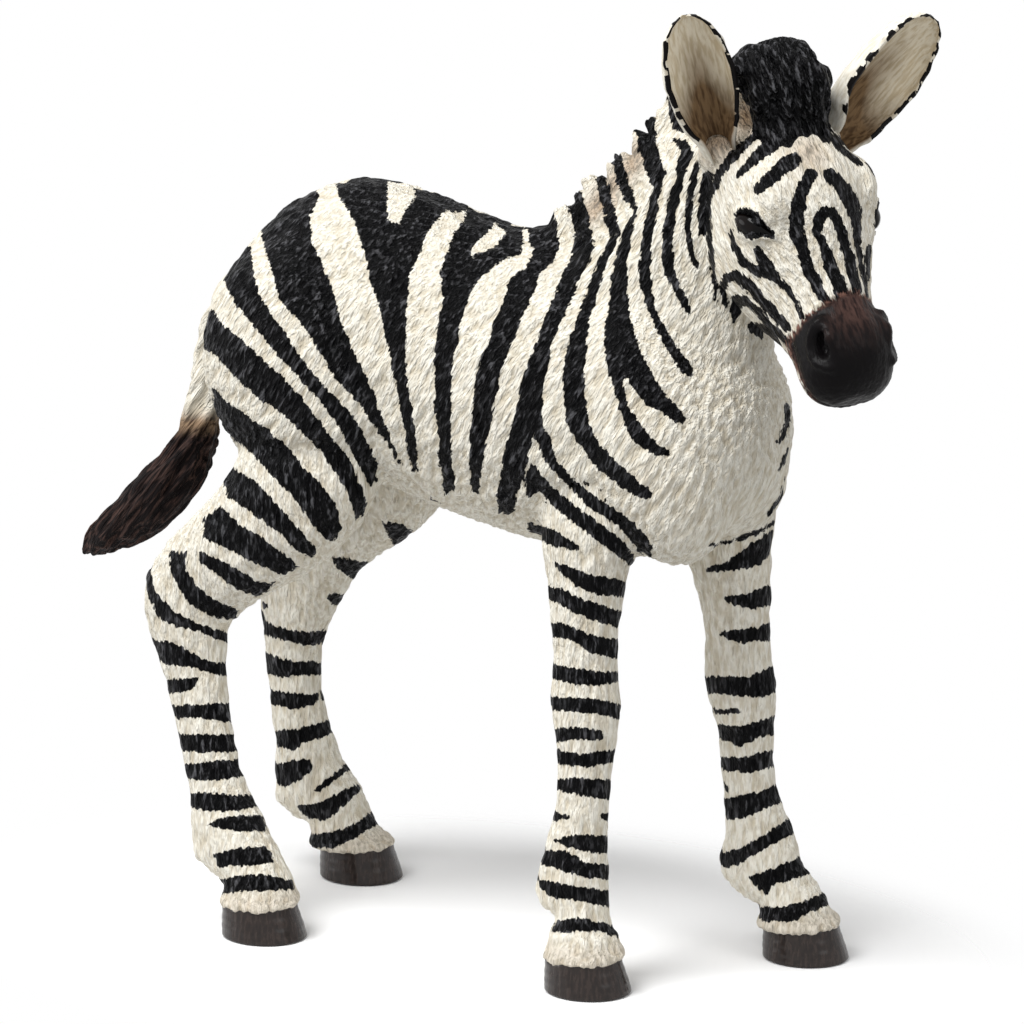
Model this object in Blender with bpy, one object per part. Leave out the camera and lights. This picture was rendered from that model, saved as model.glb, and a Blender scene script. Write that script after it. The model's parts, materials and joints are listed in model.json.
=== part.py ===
"""Toy zebra foal, a small standing animal figure moulded in solid vinyl.

It is modelled in the pieces that such a figure is moulded from: a trunk that carries the neck and
its mane, a head, two ears, a tail and four legs. Each piece ends in a plug that sits in a socket of
its neighbour. Metres, +Z up. The foal looks along +X, its left side is at +Y, and the origin is on
the ground under the middle of the figure.
"""

import math

import bmesh
import bpy
from mathutils import Matrix, Vector

# Fit of the moulded pieces
SOCKET_CLEARANCE = 0.00040

# Trunk, from the buttocks to the breast
TRUNK_LENGTH = 0.0458
TRUNK_WIDTH = 0.0162
TRUNK_REAR_X = -0.0238
BELLY_HEIGHT = 0.0305
BARREL_DEPTH = 0.0215

# Neck and mane
NECK_LENGTH = 0.0170
NECK_DEPTH = 0.0190
NECK_WIDTH = 0.0112
MANE_HEIGHT = 0.0036
MANE_THICKNESS = 0.0027
MANE_LOCK_LENGTH = 0.0031
MANE_LEAN = math.radians(-38)
MANE_LOCKS = 9

# Head, measured down the face from the roots of the forelock
HEAD_LENGTH = 0.0200
HEAD_DEPTH = 0.0120
HEAD_WIDTH = 0.0102
HEAD_TURN = math.radians(-29)
HEAD_PITCH = math.radians(36)
EYE_LENGTH = 0.0026
EYE_HEIGHT = 0.0019
EYE_BULGE = 0.0011
NOSTRIL_LENGTH = 0.0020
NOSTRIL_WIDTH = 0.0011
FORELOCK_LENGTH = 0.0077
FORELOCK_WIDTH = 0.0062
FORELOCK_DEPTH = 0.0088
FORELOCK_LOCK_WIDTH = 0.0022
FORELOCK_LOCKS = 5

# Ears
EAR_LENGTH = 0.0102
EAR_WIDTH = 0.0057
EAR_DEPTH = 0.0038
EAR_WALL = 0.0009

# Tail
TAIL_LENGTH = 0.0232
TAIL_THICKNESS = 0.0046

# Legs
LEG_THICKNESS = 0.0042
HOOF_LENGTH = 0.0062
HOOF_WIDTH = 0.0056
HOOF_HEIGHT = 0.0024
ERGOT_SIZE = 0.0009
ERGOT_HEIGHT = 0.0068
FORE_FEET_X = 0.0160
FORE_STEP = 0.0092
FORE_FEET_APART = 0.0146
HIND_FEET_X = -0.0158
HIND_STEP = 0.0019
HIND_FEET_APART = 0.0160
SHOULDERS_APART = 0.0098
HIPS_APART = 0.0114

# Fineness of the blended skins and of the lofted pieces
BODY_GRAIN = 0.00045
HEAD_GRAIN = 0.00034
BODY_KEPT_SHARE = 0.060
HEAD_KEPT_SHARE = 0.085
LOFT_SIDES = 18
BALL_SIDES = 24
SHARP_ANGLE = math.radians(50)
PAINT_LINE = 0.00005

COAT = ("coat_paint", (0.86, 0.83, 0.76, 1.0), 0.55)
BLACK = ("black_paint", (0.03, 0.027, 0.027, 1.0), 0.35)
HOOF = ("hoof_paint", (0.13, 0.11, 0.105, 1.0), 0.40)

SIDEWAYS = Vector((0, 1, 0))
UPWARD = Vector((0, 0, 1))


def clear_scene():
    for obj in list(bpy.data.objects):
        bpy.data.objects.remove(obj)


def material_of(paint):
    name, rgba, roughness = paint
    material = bpy.data.materials.get(name)
    if material is None:
        material = bpy.data.materials.new(name)
        material.use_nodes = True
        shader = material.node_tree.nodes["Principled BSDF"]
        shader.inputs["Base Color"].default_value = rgba
        shader.inputs["Roughness"].default_value = roughness
        shader.inputs["Metallic"].default_value = 0.0
        material.diffuse_color = rgba
    return material


def beyond(spot, planes):
    """Whether a spot lies beyond all the planes, each a point and a normal."""
    return all((spot - point).dot(normal) > 0 for point, normal in planes)


def split_along(form, plane, others):
    """Splits the faces that lie beyond the other planes along this one, for a crisp paint line."""
    near = [face for face in form.faces if any(beyond(vert.co, others) for vert in face.verts)]
    parts = dict.fromkeys(near)
    for face in near:
        parts.update(dict.fromkeys(face.edges))
        parts.update(dict.fromkeys(face.verts))
    point, normal = plane
    bmesh.ops.bisect_plane(form, geom=list(parts), dist=PAINT_LINE, plane_co=point, plane_no=normal)


def painted(obj, paint, detail_paint=None, regions=()):
    """Paints the object, and in a second colour each region beyond a list of planes."""
    obj.data.materials.clear()
    obj.data.materials.append(material_of(paint))
    if detail_paint:
        obj.data.materials.append(material_of(detail_paint))
        form = bmesh.new()
        form.from_mesh(obj.data)
        for planes in regions:
            for plane in planes:
                split_along(form, plane, [other for other in planes if other is not plane])
        for face in form.faces:
            centre = face.calc_center_median()
            face.material_index = int(any(beyond(centre, planes) for planes in regions))
        form.to_mesh(obj.data)
        form.free()
    obj.data.shade_smooth()
    obj.data.set_sharp_from_angle(angle=SHARP_ANGLE)


def linked(name, mesh):
    obj = bpy.data.objects.new(name, mesh)
    bpy.context.scene.collection.objects.link(obj)
    return obj


def curve_point(before, start, end, after, share):
    """One number on the smooth curve that passes through start and end."""
    slope = (end - before) * share
    bend = (2 * before - 5 * start + 4 * end - after) * share ** 2
    twist = (3 * start - before - 3 * end + after) * share ** 3
    return start + (slope + bend + twist) / 2


def smooth_rows(rows, steps):
    """The rows, with steps - 1 more between each two, on smooth curves through them."""
    filled = []
    last = len(rows) - 1
    for i in range(last):
        near = (rows[max(i - 1, 0)], rows[i], rows[i + 1], rows[min(i + 2, last)])
        for step in range(steps):
            filled.append([curve_point(*values, step / steps) for values in zip(*near)])
    filled.append(list(rows[-1]))
    return filled


def ring(centre, across, up, half_width, half_up, half_down, sides=LOFT_SIDES):
    """One egg-shaped section of a loft, which may be fuller above its centre than below."""
    points = []
    for k in range(sides):
        angle = 2 * math.pi * k / sides
        rise = math.sin(angle)
        height = rise * (half_up if rise > 0 else half_down)
        points.append(centre + across * (half_width * math.cos(angle)) + up * height)
    return points


def loft(name, rings):
    """A closed solid through rings of equal counts, with a flat face at each end."""
    form = bmesh.new()
    loops = []
    for points in rings:
        verts = [form.verts.new(point) for point in points]
        loops.append([form.edges.new((verts[k - 1], verts[k])) for k in range(len(verts))])
        if len(loops) in (1, len(rings)):
            form.faces.new(verts)
    for near, far in zip(loops, loops[1:]):
        bmesh.ops.bridge_loops(form, edges=near + far)
    bmesh.ops.recalc_face_normals(form, faces=form.faces)
    mesh = bpy.data.meshes.new(name)
    form.to_mesh(mesh)
    form.free()
    return linked(name, mesh)


def rings_along(rows, sides=LOFT_SIDES):
    """Rings square to the path of rows (centre, half width, half front, half back)."""
    rings = []
    last = len(rows) - 1
    for i, (x, y, z, half_width, half_up, half_down) in enumerate(rows):
        ahead = Vector(rows[min(i + 1, last)][:3]) - Vector(rows[max(i - 1, 0)][:3])
        across = (SIDEWAYS - ahead * SIDEWAYS.dot(ahead) / ahead.length_squared).normalized()
        up = across.cross(ahead).normalized()
        rings.append(ring(Vector((x, y, z)), across, up, half_width, half_up, half_down, sides))
    return rings


def rounded(name, place, radii):
    """An ellipsoid with these radii, set by a matrix."""
    form = bmesh.new()
    size = Matrix.Diagonal((*radii, 1.0))
    bmesh.ops.create_uvsphere(form, u_segments=BALL_SIDES, v_segments=BALL_SIDES // 2, radius=1.0)
    bmesh.ops.transform(form, matrix=place @ size, verts=form.verts)
    mesh = bpy.data.meshes.new(name)
    form.to_mesh(mesh)
    form.free()
    return linked(name, mesh)


def settled(obj):
    """The object with its modifiers applied."""
    graph = bpy.context.evaluated_depsgraph_get()
    mesh = bpy.data.meshes.new_from_object(obj.evaluated_get(graph))
    obj.modifiers.clear()
    obj.data = mesh
    return obj


def merged(name, objs):
    """One object that holds the meshes of several, which go."""
    form = bmesh.new()
    for obj in objs:
        form.from_mesh(obj.data)
        bpy.data.objects.remove(obj)
    mesh = bpy.data.meshes.new(name)
    form.to_mesh(mesh)
    form.free()
    return linked(name, mesh)


def blended(name, masses, grain, rounds, kept_share):
    """The masses run together into one skin, as a sculptor does, then smoothed and thinned."""
    obj = merged(name, masses)
    skin = obj.modifiers.new("skin", "REMESH")
    skin.mode = "VOXEL"
    skin.voxel_size = grain
    smooth = obj.modifiers.new("smooth", "SMOOTH")
    smooth.factor = 0.5
    smooth.iterations = rounds
    thin = obj.modifiers.new("thin", "DECIMATE")
    thin.ratio = kept_share
    return settled(obj)


def cut(obj, cutter):
    """Takes the cutter's space out of the object."""
    cutter.hide_render = True
    cutter.display_type = "WIRE"
    taken = obj.modifiers.new("cut", "BOOLEAN")
    taken.operation = "DIFFERENCE"
    taken.solver = "EXACT"
    taken.use_self = True
    taken.object = cutter
    settled(obj)
    bpy.data.objects.remove(cutter)


def swollen(plug):
    """A copy of the plug that is larger by the fit's clearance all round."""
    copy = linked("socket", plug.data.copy())
    swell = copy.modifiers.new("swell", "DISPLACE")
    swell.mid_level = 0.0
    swell.strength = SOCKET_CLEARANCE
    return settled(copy)


def cut_sockets(obj, plugs):
    """Takes the space of other pieces out of the object, in one cut."""
    cut(obj, merged("sockets", [swollen(plug) for plug in plugs]))


# Trunk rows: along the trunk, height of back and belly over the belly line, half width
TRUNK_SHARES = (
    (0.018, 0.58, 0.35, 0.11),
    (0.037, 0.70, 0.23, 0.25),
    (0.080, 0.82, 0.16, 0.36),
    (0.159, 0.99, 0.14, 0.43),
    (0.269, 1.085, 0.12, 0.47),
    (0.389, 1.055, 0.05, 0.49),
    (0.520, 0.985, -0.01, 0.50),
    (0.629, 0.97, -0.04, 0.50),
    (0.738, 0.95, -0.06, 0.48),
    (0.825, 0.91, -0.02, 0.44),
    (0.913, 0.79, 0.06, 0.38),
    (0.969, 0.67, 0.15, 0.30),
    (1.000, 0.53, 0.28, 0.14),
)


def on_trunk(along, out, height):
    """A point at shares of the trunk's length, width and depth."""
    x = TRUNK_REAR_X + along * TRUNK_LENGTH
    return Vector((x, out * TRUNK_WIDTH, BELLY_HEIGHT + height * BARREL_DEPTH))


def trunk():
    rings = []
    for along, back, belly, half_width in smooth_rows(TRUNK_SHARES, 2):
        half_depth = (back - belly) * BARREL_DEPTH / 2
        centre = on_trunk(along, 0, (back + belly) / 2)
        rings.append(ring(centre, SIDEWAYS, UPWARD, half_width * TRUNK_WIDTH, half_depth, half_depth))
    return loft("trunk", rings)


# Muscle masses: along, out and up on the trunk, then their radii as shares of the same sizes, and
# how far they lean back at the top
MUSCLE_SHARES = (
    ("haunch", (0.236, 0.30, 0.48), (0.172, 0.270, 0.42), math.radians(-14)),
    ("shoulder", (0.830, 0.23, 0.42), (0.130, 0.260, 0.45), math.radians(-20)),
)


def muscles(side):
    masses = []
    for name, place, radii, lean in MUSCLE_SHARES:
        along, out, height = place
        matrix = Matrix.Translation(on_trunk(along, side * out, height)) @ Matrix.Rotation(lean, 4, "Y")
        sizes = (radii[0] * TRUNK_LENGTH, radii[1] * TRUNK_WIDTH, radii[2] * BARREL_DEPTH)
        masses.append(rounded(name, matrix, sizes))
    return masses


# Neck rows: ahead of and above the base as shares of its length, half width, half depth
NECK_SHARES = (
    (-0.10, -0.30, 0.50, 0.50),
    (0.02, 0.00, 0.50, 0.48),
    (0.16, 0.36, 0.39, 0.355),
    (0.30, 0.66, 0.33, 0.255),
    (0.38, 0.84, 0.29, 0.20),
)


def neck_base():
    return on_trunk(0.790, 0, 0.70)


def neck():
    base = neck_base()
    rows = []
    for ahead, above, half_width, half_depth in NECK_SHARES:
        centre = base + NECK_LENGTH * Vector((ahead, 0, above))
        depth = half_depth * NECK_DEPTH
        rows.append((*centre, half_width * NECK_WIDTH, depth, depth))
    return loft("neck", rings_along(smooth_rows(rows, 3)))


# The crest that the mane follows, ahead of and above the neck's base as shares of its length
CREST_SHARES = (
    (-0.64, 0.26),
    (-0.46, 0.29),
    (-0.27, 0.40),
    (-0.08, 0.56),
    (0.05, 0.72),
    (0.15, 0.86),
    (0.21, 0.96),
)


def mane():
    """Upright locks side by side along the crest, which rise from the withers."""
    base = neck_base()
    crest = smooth_rows(CREST_SHARES, MANE_LOCKS)
    lean = Matrix.Rotation(MANE_LEAN, 4, "Y")
    locks = []
    for k in range(MANE_LOCKS):
        ahead, above = crest[round(k * (len(crest) - 1) / (MANE_LOCKS - 1))]
        centre = base + NECK_LENGTH * Vector((ahead, 0, above))
        grown = min(1.0, (k + 2) / 4)
        radii = (MANE_LOCK_LENGTH / 2, MANE_THICKNESS / 2, MANE_HEIGHT * 0.75 * grown)
        locks.append(rounded("lock", Matrix.Translation(centre) @ lean, radii))
    return locks


def make_torso():
    masses = [trunk(), neck()] + mane() + muscles(-1) + muscles(1)
    return blended("torso", masses, BODY_GRAIN, 5, BODY_KEPT_SHARE)


def head_frame():
    """X runs down the face from the forelock's roots, Y to the foal's left, Z out of the brow."""
    level = math.sin(HEAD_PITCH)
    down = Vector((math.cos(HEAD_TURN) * level, math.sin(HEAD_TURN) * level, -math.cos(HEAD_PITCH)))
    left = Vector((-math.sin(HEAD_TURN), math.cos(HEAD_TURN), 0))
    out = down.cross(left)
    root = neck_base() + NECK_LENGTH * Vector((0.605, -0.060, 0.905))
    return Matrix.Translation(root) @ Matrix((down, left, out)).transposed().to_4x4()


def on_head(along, left, out):
    """A place at shares of the head's length, width and depth, as a matrix."""
    spot = Vector((along * HEAD_LENGTH, left * HEAD_WIDTH, out * HEAD_DEPTH))
    return head_frame() @ Matrix.Translation(spot)


# Head rows: down the face, height of the face line and of the jaw line, half width
HEAD_SHARES = (
    (-0.125, -0.10, -0.42, 0.22),
    (-0.070, 0.10, -0.54, 0.34),
    (0.025, 0.22, -0.60, 0.42),
    (0.150, 0.31, -0.67, 0.47),
    (0.300, 0.33, -0.69, 0.48),
    (0.425, 0.26, -0.73, 0.44),
    (0.550, 0.17, -0.67, 0.37),
    (0.675, 0.13, -0.53, 0.31),
    (0.775, 0.15, -0.43, 0.32),
    (0.865, 0.13, -0.41, 0.33),
    (0.935, 0.03, -0.35, 0.28),
    (0.975, -0.08, -0.26, 0.16),
)


def skull():
    rings = []
    place = head_frame()
    for along, face, jaw, half_width in smooth_rows(HEAD_SHARES, 3):
        half_depth = (face - jaw) * HEAD_DEPTH / 2
        centre = Vector((along * HEAD_LENGTH, 0, (face + jaw) * HEAD_DEPTH / 2))
        rings.append(ring(centre, SIDEWAYS, UPWARD, half_width * HEAD_WIDTH, half_depth, half_depth))
    obj = loft("skull", rings)
    obj.data.transform(place)
    return obj


def forelock():
    """A rounded tuft of locks that stands between the ears and falls on the brow."""
    locks = []
    for k in range(FORELOCK_LOCKS):
        offset = 2 * k / (FORELOCK_LOCKS - 1) - 1
        size = math.sqrt(1 - 0.55 * offset ** 2)
        left = offset * (FORELOCK_WIDTH - FORELOCK_LOCK_WIDTH) / 2
        place = on_head(-0.095, 0, 0.110) @ Matrix.Translation((0, left, 0))
        radii = (size * FORELOCK_LENGTH / 2, FORELOCK_LOCK_WIDTH / 2, size * FORELOCK_DEPTH / 2)
        locks.append(rounded("lock", place, radii))
    return locks


def make_head():
    masses = [skull()] + forelock()
    for side in (-1, 1):
        eye = (EYE_LENGTH / 2, EYE_BULGE, EYE_HEIGHT / 2)
        masses.append(rounded("eye", on_head(0.335, side * 0.410, 0), eye))
        brow = (EYE_LENGTH * 0.85, EYE_BULGE, EYE_HEIGHT * 0.75)
        masses.append(rounded("brow", on_head(0.270, side * 0.340, 0.14), brow))
        cheek = (0.24 * HEAD_LENGTH, 0.14 * HEAD_WIDTH, 0.28 * HEAD_DEPTH)
        masses.append(rounded("cheek", on_head(0.300, side * 0.330, -0.32), cheek))
        wing = (NOSTRIL_LENGTH * 0.75, NOSTRIL_WIDTH * 0.8, NOSTRIL_LENGTH * 0.65)
        masses.append(rounded("nostril_wing", on_head(0.780, side * 0.220, 0.0), wing))
    head = blended("head", masses, HEAD_GRAIN, 3, HEAD_KEPT_SHARE)
    for side in (-1, 1):
        hole = (NOSTRIL_LENGTH * 0.42, NOSTRIL_WIDTH / 2, NOSTRIL_WIDTH / 2)
        cut(head, rounded("nostril", on_head(0.800, side * 0.310, 0.03), hole))
    return head


# Ear rows: up the ear, half width, half depth
EAR_SHARES = (
    (-0.16, 0.20, 0.34),
    (0.00, 0.27, 0.42),
    (0.14, 0.38, 0.50),
    (0.32, 0.47, 0.50),
    (0.52, 0.50, 0.45),
    (0.72, 0.43, 0.37),
    (0.87, 0.30, 0.27),
    (0.96, 0.17, 0.18),
    (1.00, 0.07, 0.10),
)
# Each ear's side, its seat as shares of the head's sizes, the way it rises and the way it opens,
# each down the face, outward and out of the brow
EAR_POSE_SHARES = {
    "ear_right": (-1, (-0.030, 0.355, -0.060), (-0.59, 0.51, 0.63), (0.65, -0.10, 0.70)),
    "ear_left": (1, (0.000, 0.410, -0.050), (-0.40, 0.69, 0.61), (0.75, 0.10, 0.62)),
}


def make_ear(name):
    """A leaf that rises from the poll, and the bowl that hollows it from its opening."""
    side, seat_shares, rise_shares, opening_shares = EAR_POSE_SHARES[name]
    bowl_share = 1 - 2 * EAR_WALL / EAR_WIDTH
    forward = Vector((1, 0, 0))
    outer = []
    bowl = []
    for up, wide, deep in smooth_rows(EAR_SHARES, 2):
        half_width = wide * EAR_WIDTH
        half_depth = deep * EAR_DEPTH
        centre = UPWARD * up * EAR_LENGTH
        outer.append(ring(centre, SIDEWAYS, forward, half_width, half_depth, half_depth))
        if up > 0:
            centre = Vector((half_depth, 0, EAR_WALL + up * (EAR_LENGTH - 2 * EAR_WALL)))
            depth = max(2 * half_depth - EAR_WALL, EAR_WALL / 4)
            bowl.append(ring(centre, SIDEWAYS, forward, half_width * bowl_share, depth, depth))
    leaf = loft(name, outer)
    hollow = loft("bowl", bowl)
    rise = Vector((rise_shares[0], side * rise_shares[1], rise_shares[2])).normalized()
    opening = Vector((opening_shares[0], side * opening_shares[1], opening_shares[2]))
    across = rise.cross(opening).normalized()
    opening = across.cross(rise)
    seat = on_head(seat_shares[0], side * seat_shares[1], seat_shares[2])
    for obj in (leaf, hollow):
        obj.data.transform(seat @ Matrix((opening, across, rise)).transposed().to_4x4())
    return leaf, hollow


# Tail rows: behind and below the dock as shares of its length, half width, half thickness
TAIL_SHARES = (
    (-0.16, -0.10, 0.24, 0.22),
    (-0.02, -0.02, 0.27, 0.24),
    (0.06, 0.14, 0.28, 0.24),
    (0.08, 0.29, 0.28, 0.26),
    (0.11, 0.41, 0.31, 0.28),
    (0.16, 0.53, 0.41, 0.39),
    (0.26, 0.65, 0.45, 0.43),
    (0.37, 0.75, 0.41, 0.39),
    (0.47, 0.82, 0.28, 0.27),
    (0.55, 0.88, 0.08, 0.07),
)


def make_tail():
    dock = on_trunk(0.030, 0, 0.63)
    rows = []
    for behind, below, half_width, half_thick in TAIL_SHARES:
        centre = dock + TAIL_LENGTH * Vector((-behind, 0, -below))
        thick = half_thick * TAIL_THICKNESS
        rows.append((*centre, half_width * TAIL_THICKNESS, thick, thick))
    return loft("tail", rings_along(smooth_rows(rows, 3), sides=14))


# Leg rows: height, place ahead of the hoof's middle, both as shares of the height of the belly,
# then half length and half width as shares of the leg's thickness
RIGHT_FORE_SHARES = (
    (0.090, -0.010, 0.66, 0.60),
    (0.130, -0.014, 0.58, 0.50),
    (0.160, -0.014, 0.46, 0.42),
    (0.195, -0.018, 0.46, 0.42),
    (0.240, -0.040, 0.60, 0.45),
    (0.300, -0.043, 0.57, 0.45),
    (0.370, -0.035, 0.47, 0.38),
    (0.440, -0.030, 0.46, 0.37),
    (0.520, -0.030, 0.47, 0.38),
    (0.585, -0.030, 0.54, 0.43),
    (0.640, -0.032, 0.60, 0.48),
    (0.690, -0.038, 0.58, 0.47),
    (0.760, -0.040, 0.55, 0.45),
    (0.850, -0.045, 0.60, 0.49),
    (0.940, -0.046, 0.69, 0.54),
    (1.010, -0.045, 0.82, 0.58),
    (1.080, -0.030, 0.95, 0.60),
    (1.180, -0.010, 0.90, 0.56),
    (1.260, 0.000, 0.70, 0.44),
)
LEFT_FORE_SHARES = (
    (0.090, -0.018, 0.66, 0.60),
    (0.125, -0.024, 0.56, 0.50),
    (0.155, -0.040, 0.50, 0.42),
    (0.195, -0.085, 0.62, 0.44),
    (0.240, -0.102, 0.66, 0.46),
    (0.300, -0.111, 0.57, 0.45),
    (0.370, -0.128, 0.48, 0.38),
    (0.455, -0.134, 0.45, 0.37),
    (0.535, -0.134, 0.49, 0.39),
    (0.610, -0.140, 0.60, 0.47),
    (0.670, -0.147, 0.60, 0.48),
    (0.760, -0.148, 0.56, 0.45),
    (0.850, -0.151, 0.62, 0.50),
    (0.930, -0.161, 0.72, 0.55),
    (1.000, -0.167, 0.82, 0.58),
    (1.080, -0.172, 0.95, 0.60),
    (1.180, -0.180, 0.90, 0.56),
    (1.260, -0.185, 0.70, 0.44),
)
RIGHT_HIND_SHARES = (
    (0.095, -0.013, 0.66, 0.59),
    (0.140, -0.022, 0.56, 0.48),
    (0.195, -0.072, 0.64, 0.48),
    (0.255, -0.112, 0.63, 0.48),
    (0.340, -0.143, 0.50, 0.40),
    (0.430, -0.170, 0.49, 0.38),
    (0.525, -0.194, 0.51, 0.39),
    (0.620, -0.216, 0.60, 0.44),
    (0.700, -0.232, 0.76, 0.50),
    (0.765, -0.232, 0.88, 0.54),
    (0.835, -0.180, 0.88, 0.60),
    (0.905, -0.096, 0.94, 0.68),
    (1.010, 0.022, 1.16, 0.76),
    (1.120, 0.082, 1.32, 0.76),
    (1.210, 0.095, 1.12, 0.60),
    (1.280, 0.095, 0.80, 0.42),
)
LEFT_HIND_SHARES = (
    (0.090, -0.036, 0.66, 0.59),
    (0.130, -0.046, 0.56, 0.48),
    (0.175, -0.066, 0.60, 0.46),
    (0.220, -0.116, 0.66, 0.48),
    (0.300, -0.135, 0.57, 0.44),
    (0.410, -0.154, 0.48, 0.38),
    (0.515, -0.160, 0.50, 0.39),
    (0.605, -0.152, 0.60, 0.44),
    (0.690, -0.134, 0.76, 0.50),
    (0.760, -0.112, 0.88, 0.54),
    (0.835, -0.060, 0.86, 0.60),
    (0.905, 0.005, 0.93, 0.68),
    (1.010, 0.105, 1.16, 0.76),
    (1.120, 0.160, 1.32, 0.76),
    (1.210, 0.172, 1.12, 0.60),
    (1.280, 0.172, 0.80, 0.42),
)
# Hoof rows: height, place ahead, size
HOOF_SHARES = ((0.00, 0.02, 1.00), (0.12, 0.02, 1.00), (0.85, -0.03, 0.88), (0.92, -0.03, 0.94))
HOOF_SLOPE_SHARE = 0.24
HOOF_TOP_SHARE = 0.88


def hoof_rings(foot_x, foot_y):
    """Rings from the flat sole up the wall, which is lower at the heel."""
    rings = []
    for height, ahead, size in HOOF_SHARES:
        centre = Vector((foot_x + ahead * HOOF_LENGTH, foot_y, 0))
        half_width = size * HOOF_WIDTH / 2
        half_length = size * HOOF_LENGTH / 2
        points = ring(centre, SIDEWAYS, Vector((-1, 0, 0)), half_width, half_length, half_length)
        for point in points:
            slope = 1 + HOOF_SLOPE_SHARE * (point.x - foot_x) / half_length
            point.z = height * HOOF_HEIGHT * slope
        rings.append(points)
    return rings


def make_leg(name, foot_x, foot_y, top_y, shares):
    rows = []
    for height, ahead, half_length, half_width in smooth_rows(shares, 2):
        x = foot_x + ahead * BELLY_HEIGHT
        y = foot_y + (top_y - foot_y) * height
        z = height * BELLY_HEIGHT
        front = half_length * LEG_THICKNESS
        back = front + ERGOT_SIZE * math.exp(-(((z - ERGOT_HEIGHT) / ERGOT_SIZE) ** 2))
        rows.append((x, y, z, half_width * LEG_THICKNESS, front, back))
    leg = loft(name, hoof_rings(foot_x, foot_y) + rings_along(rows))
    leg["foot"] = (foot_x, foot_y, 0.0)
    return leg


def make_legs():
    shoulder = SHOULDERS_APART / 2
    hip = HIPS_APART / 2
    fore_y = FORE_FEET_APART / 2
    hind_y = HIND_FEET_APART / 2
    fore_x = (FORE_FEET_X - FORE_STEP / 2, FORE_FEET_X + FORE_STEP / 2)
    hind_x = (HIND_FEET_X + HIND_STEP / 2, HIND_FEET_X - HIND_STEP / 2)
    return [
        make_leg("fore_leg_right", fore_x[0], -fore_y, -shoulder, RIGHT_FORE_SHARES),
        make_leg("fore_leg_left", fore_x[1], fore_y, shoulder, LEFT_FORE_SHARES),
        make_leg("hind_leg_right", hind_x[0], -hind_y, -hip, RIGHT_HIND_SHARES),
        make_leg("hind_leg_left", hind_x[1], hind_y, hip, LEFT_HIND_SHARES),
    ]


def paint_all(torso, head, ears, tail, legs):
    turn = head_frame().to_3x3()
    down, out = turn.col[0], turn.col[2]
    muzzle = [(on_head(0.73, 0, 0).translation, down + out * 0.2)]
    tuft = [(on_head(-0.06, 0, 0.25).translation, out * 0.8 - down * 0.6)]
    painted(torso, COAT)
    painted(head, COAT, BLACK, [muzzle, tuft])
    for ear in ears:
        painted(ear, COAT)
    painted(tail, COAT, BLACK, [[(on_trunk(0, 0, 0.28), -UPWARD)]])
    slope = Vector((HOOF_SLOPE_SHARE * 2 * HOOF_HEIGHT, 0, -HOOF_LENGTH))
    for leg in legs:
        coronet = Vector(leg["foot"]) + UPWARD * HOOF_HEIGHT * HOOF_TOP_SHARE
        painted(leg, COAT, HOOF, [[(coronet, slope)]])


def stand_on_origin(pieces):
    """Carries the pieces on an empty, so that the middle of their footprint box is the origin."""
    corners = [piece.matrix_world @ Vector(corner) for piece in pieces for corner in piece.bound_box]
    low = Vector([min(corner[i] for corner in corners) for i in range(3)])
    high = Vector([max(corner[i] for corner in corners) for i in range(3)])
    figure = linked("figure", None)
    figure.location = (-(low.x + high.x) / 2, -(low.y + high.y) / 2, -low.z)
    for piece in pieces:
        piece.parent = figure


def main():
    clear_scene()
    torso = make_torso()
    head = make_head()
    ears, hollows = zip(*[make_ear(name) for name in EAR_POSE_SHARES])
    tail = make_tail()
    legs = make_legs()
    cut_sockets(head, [torso, *ears])
    cut_sockets(torso, [tail, *ears, *legs])
    for ear, hollow in zip(ears, hollows):
        cut(ear, hollow)
    paint_all(torso, head, ears, tail, legs)
    stand_on_origin([torso, head, tail, *ears, *legs])


main()
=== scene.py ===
"""Toy zebra foal in hand-painted vinyl: the looks.

The solids of the frame are run together into one sculpted skin with its fur, painted by strokes
that are laid on in the photograph's own view, and parted again into the pieces that the figure is
moulded from. Lengths are in millimetres in the foal's frame, until a mesh is made.
"""

import json
import math

import bmesh
import bpy
import numpy as np
from mathutils import Matrix, Vector, noise
from mathutils.bvhtree import BVHTree


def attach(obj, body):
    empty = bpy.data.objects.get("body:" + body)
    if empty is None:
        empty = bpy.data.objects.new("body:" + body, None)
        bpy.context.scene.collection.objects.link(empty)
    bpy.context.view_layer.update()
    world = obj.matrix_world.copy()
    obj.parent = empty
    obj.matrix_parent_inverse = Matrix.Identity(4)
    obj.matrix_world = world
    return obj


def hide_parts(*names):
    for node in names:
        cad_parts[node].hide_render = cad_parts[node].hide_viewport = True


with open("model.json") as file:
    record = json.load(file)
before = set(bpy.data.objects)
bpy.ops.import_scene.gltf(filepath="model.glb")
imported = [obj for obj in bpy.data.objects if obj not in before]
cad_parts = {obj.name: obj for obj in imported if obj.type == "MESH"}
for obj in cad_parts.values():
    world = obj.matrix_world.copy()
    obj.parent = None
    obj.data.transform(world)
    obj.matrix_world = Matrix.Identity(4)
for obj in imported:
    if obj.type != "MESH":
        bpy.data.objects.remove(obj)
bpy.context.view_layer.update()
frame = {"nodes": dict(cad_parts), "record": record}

MM = 0.001
NODES = sorted(frame["nodes"])
LEGS = ("fore_leg_right", "fore_leg_left", "hind_leg_right", "hind_leg_left")
EARS = ("ear_right", "ear_left")
SKIN_NODES = [name for name in NODES if name not in EARS]

# The photograph's view
IMAGE_SIZE = 1024
VIEW_AZIMUTH = math.radians(31.0)
VIEW_ELEVATION = math.radians(14.0)
VIEW_DISTANCE = 520.0
VIEW_TARGET = np.array((5.692, -6.0, 33.0))
PIXELS_PER_MM = 14.5
SENSOR_WIDTH = 36.0

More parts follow.
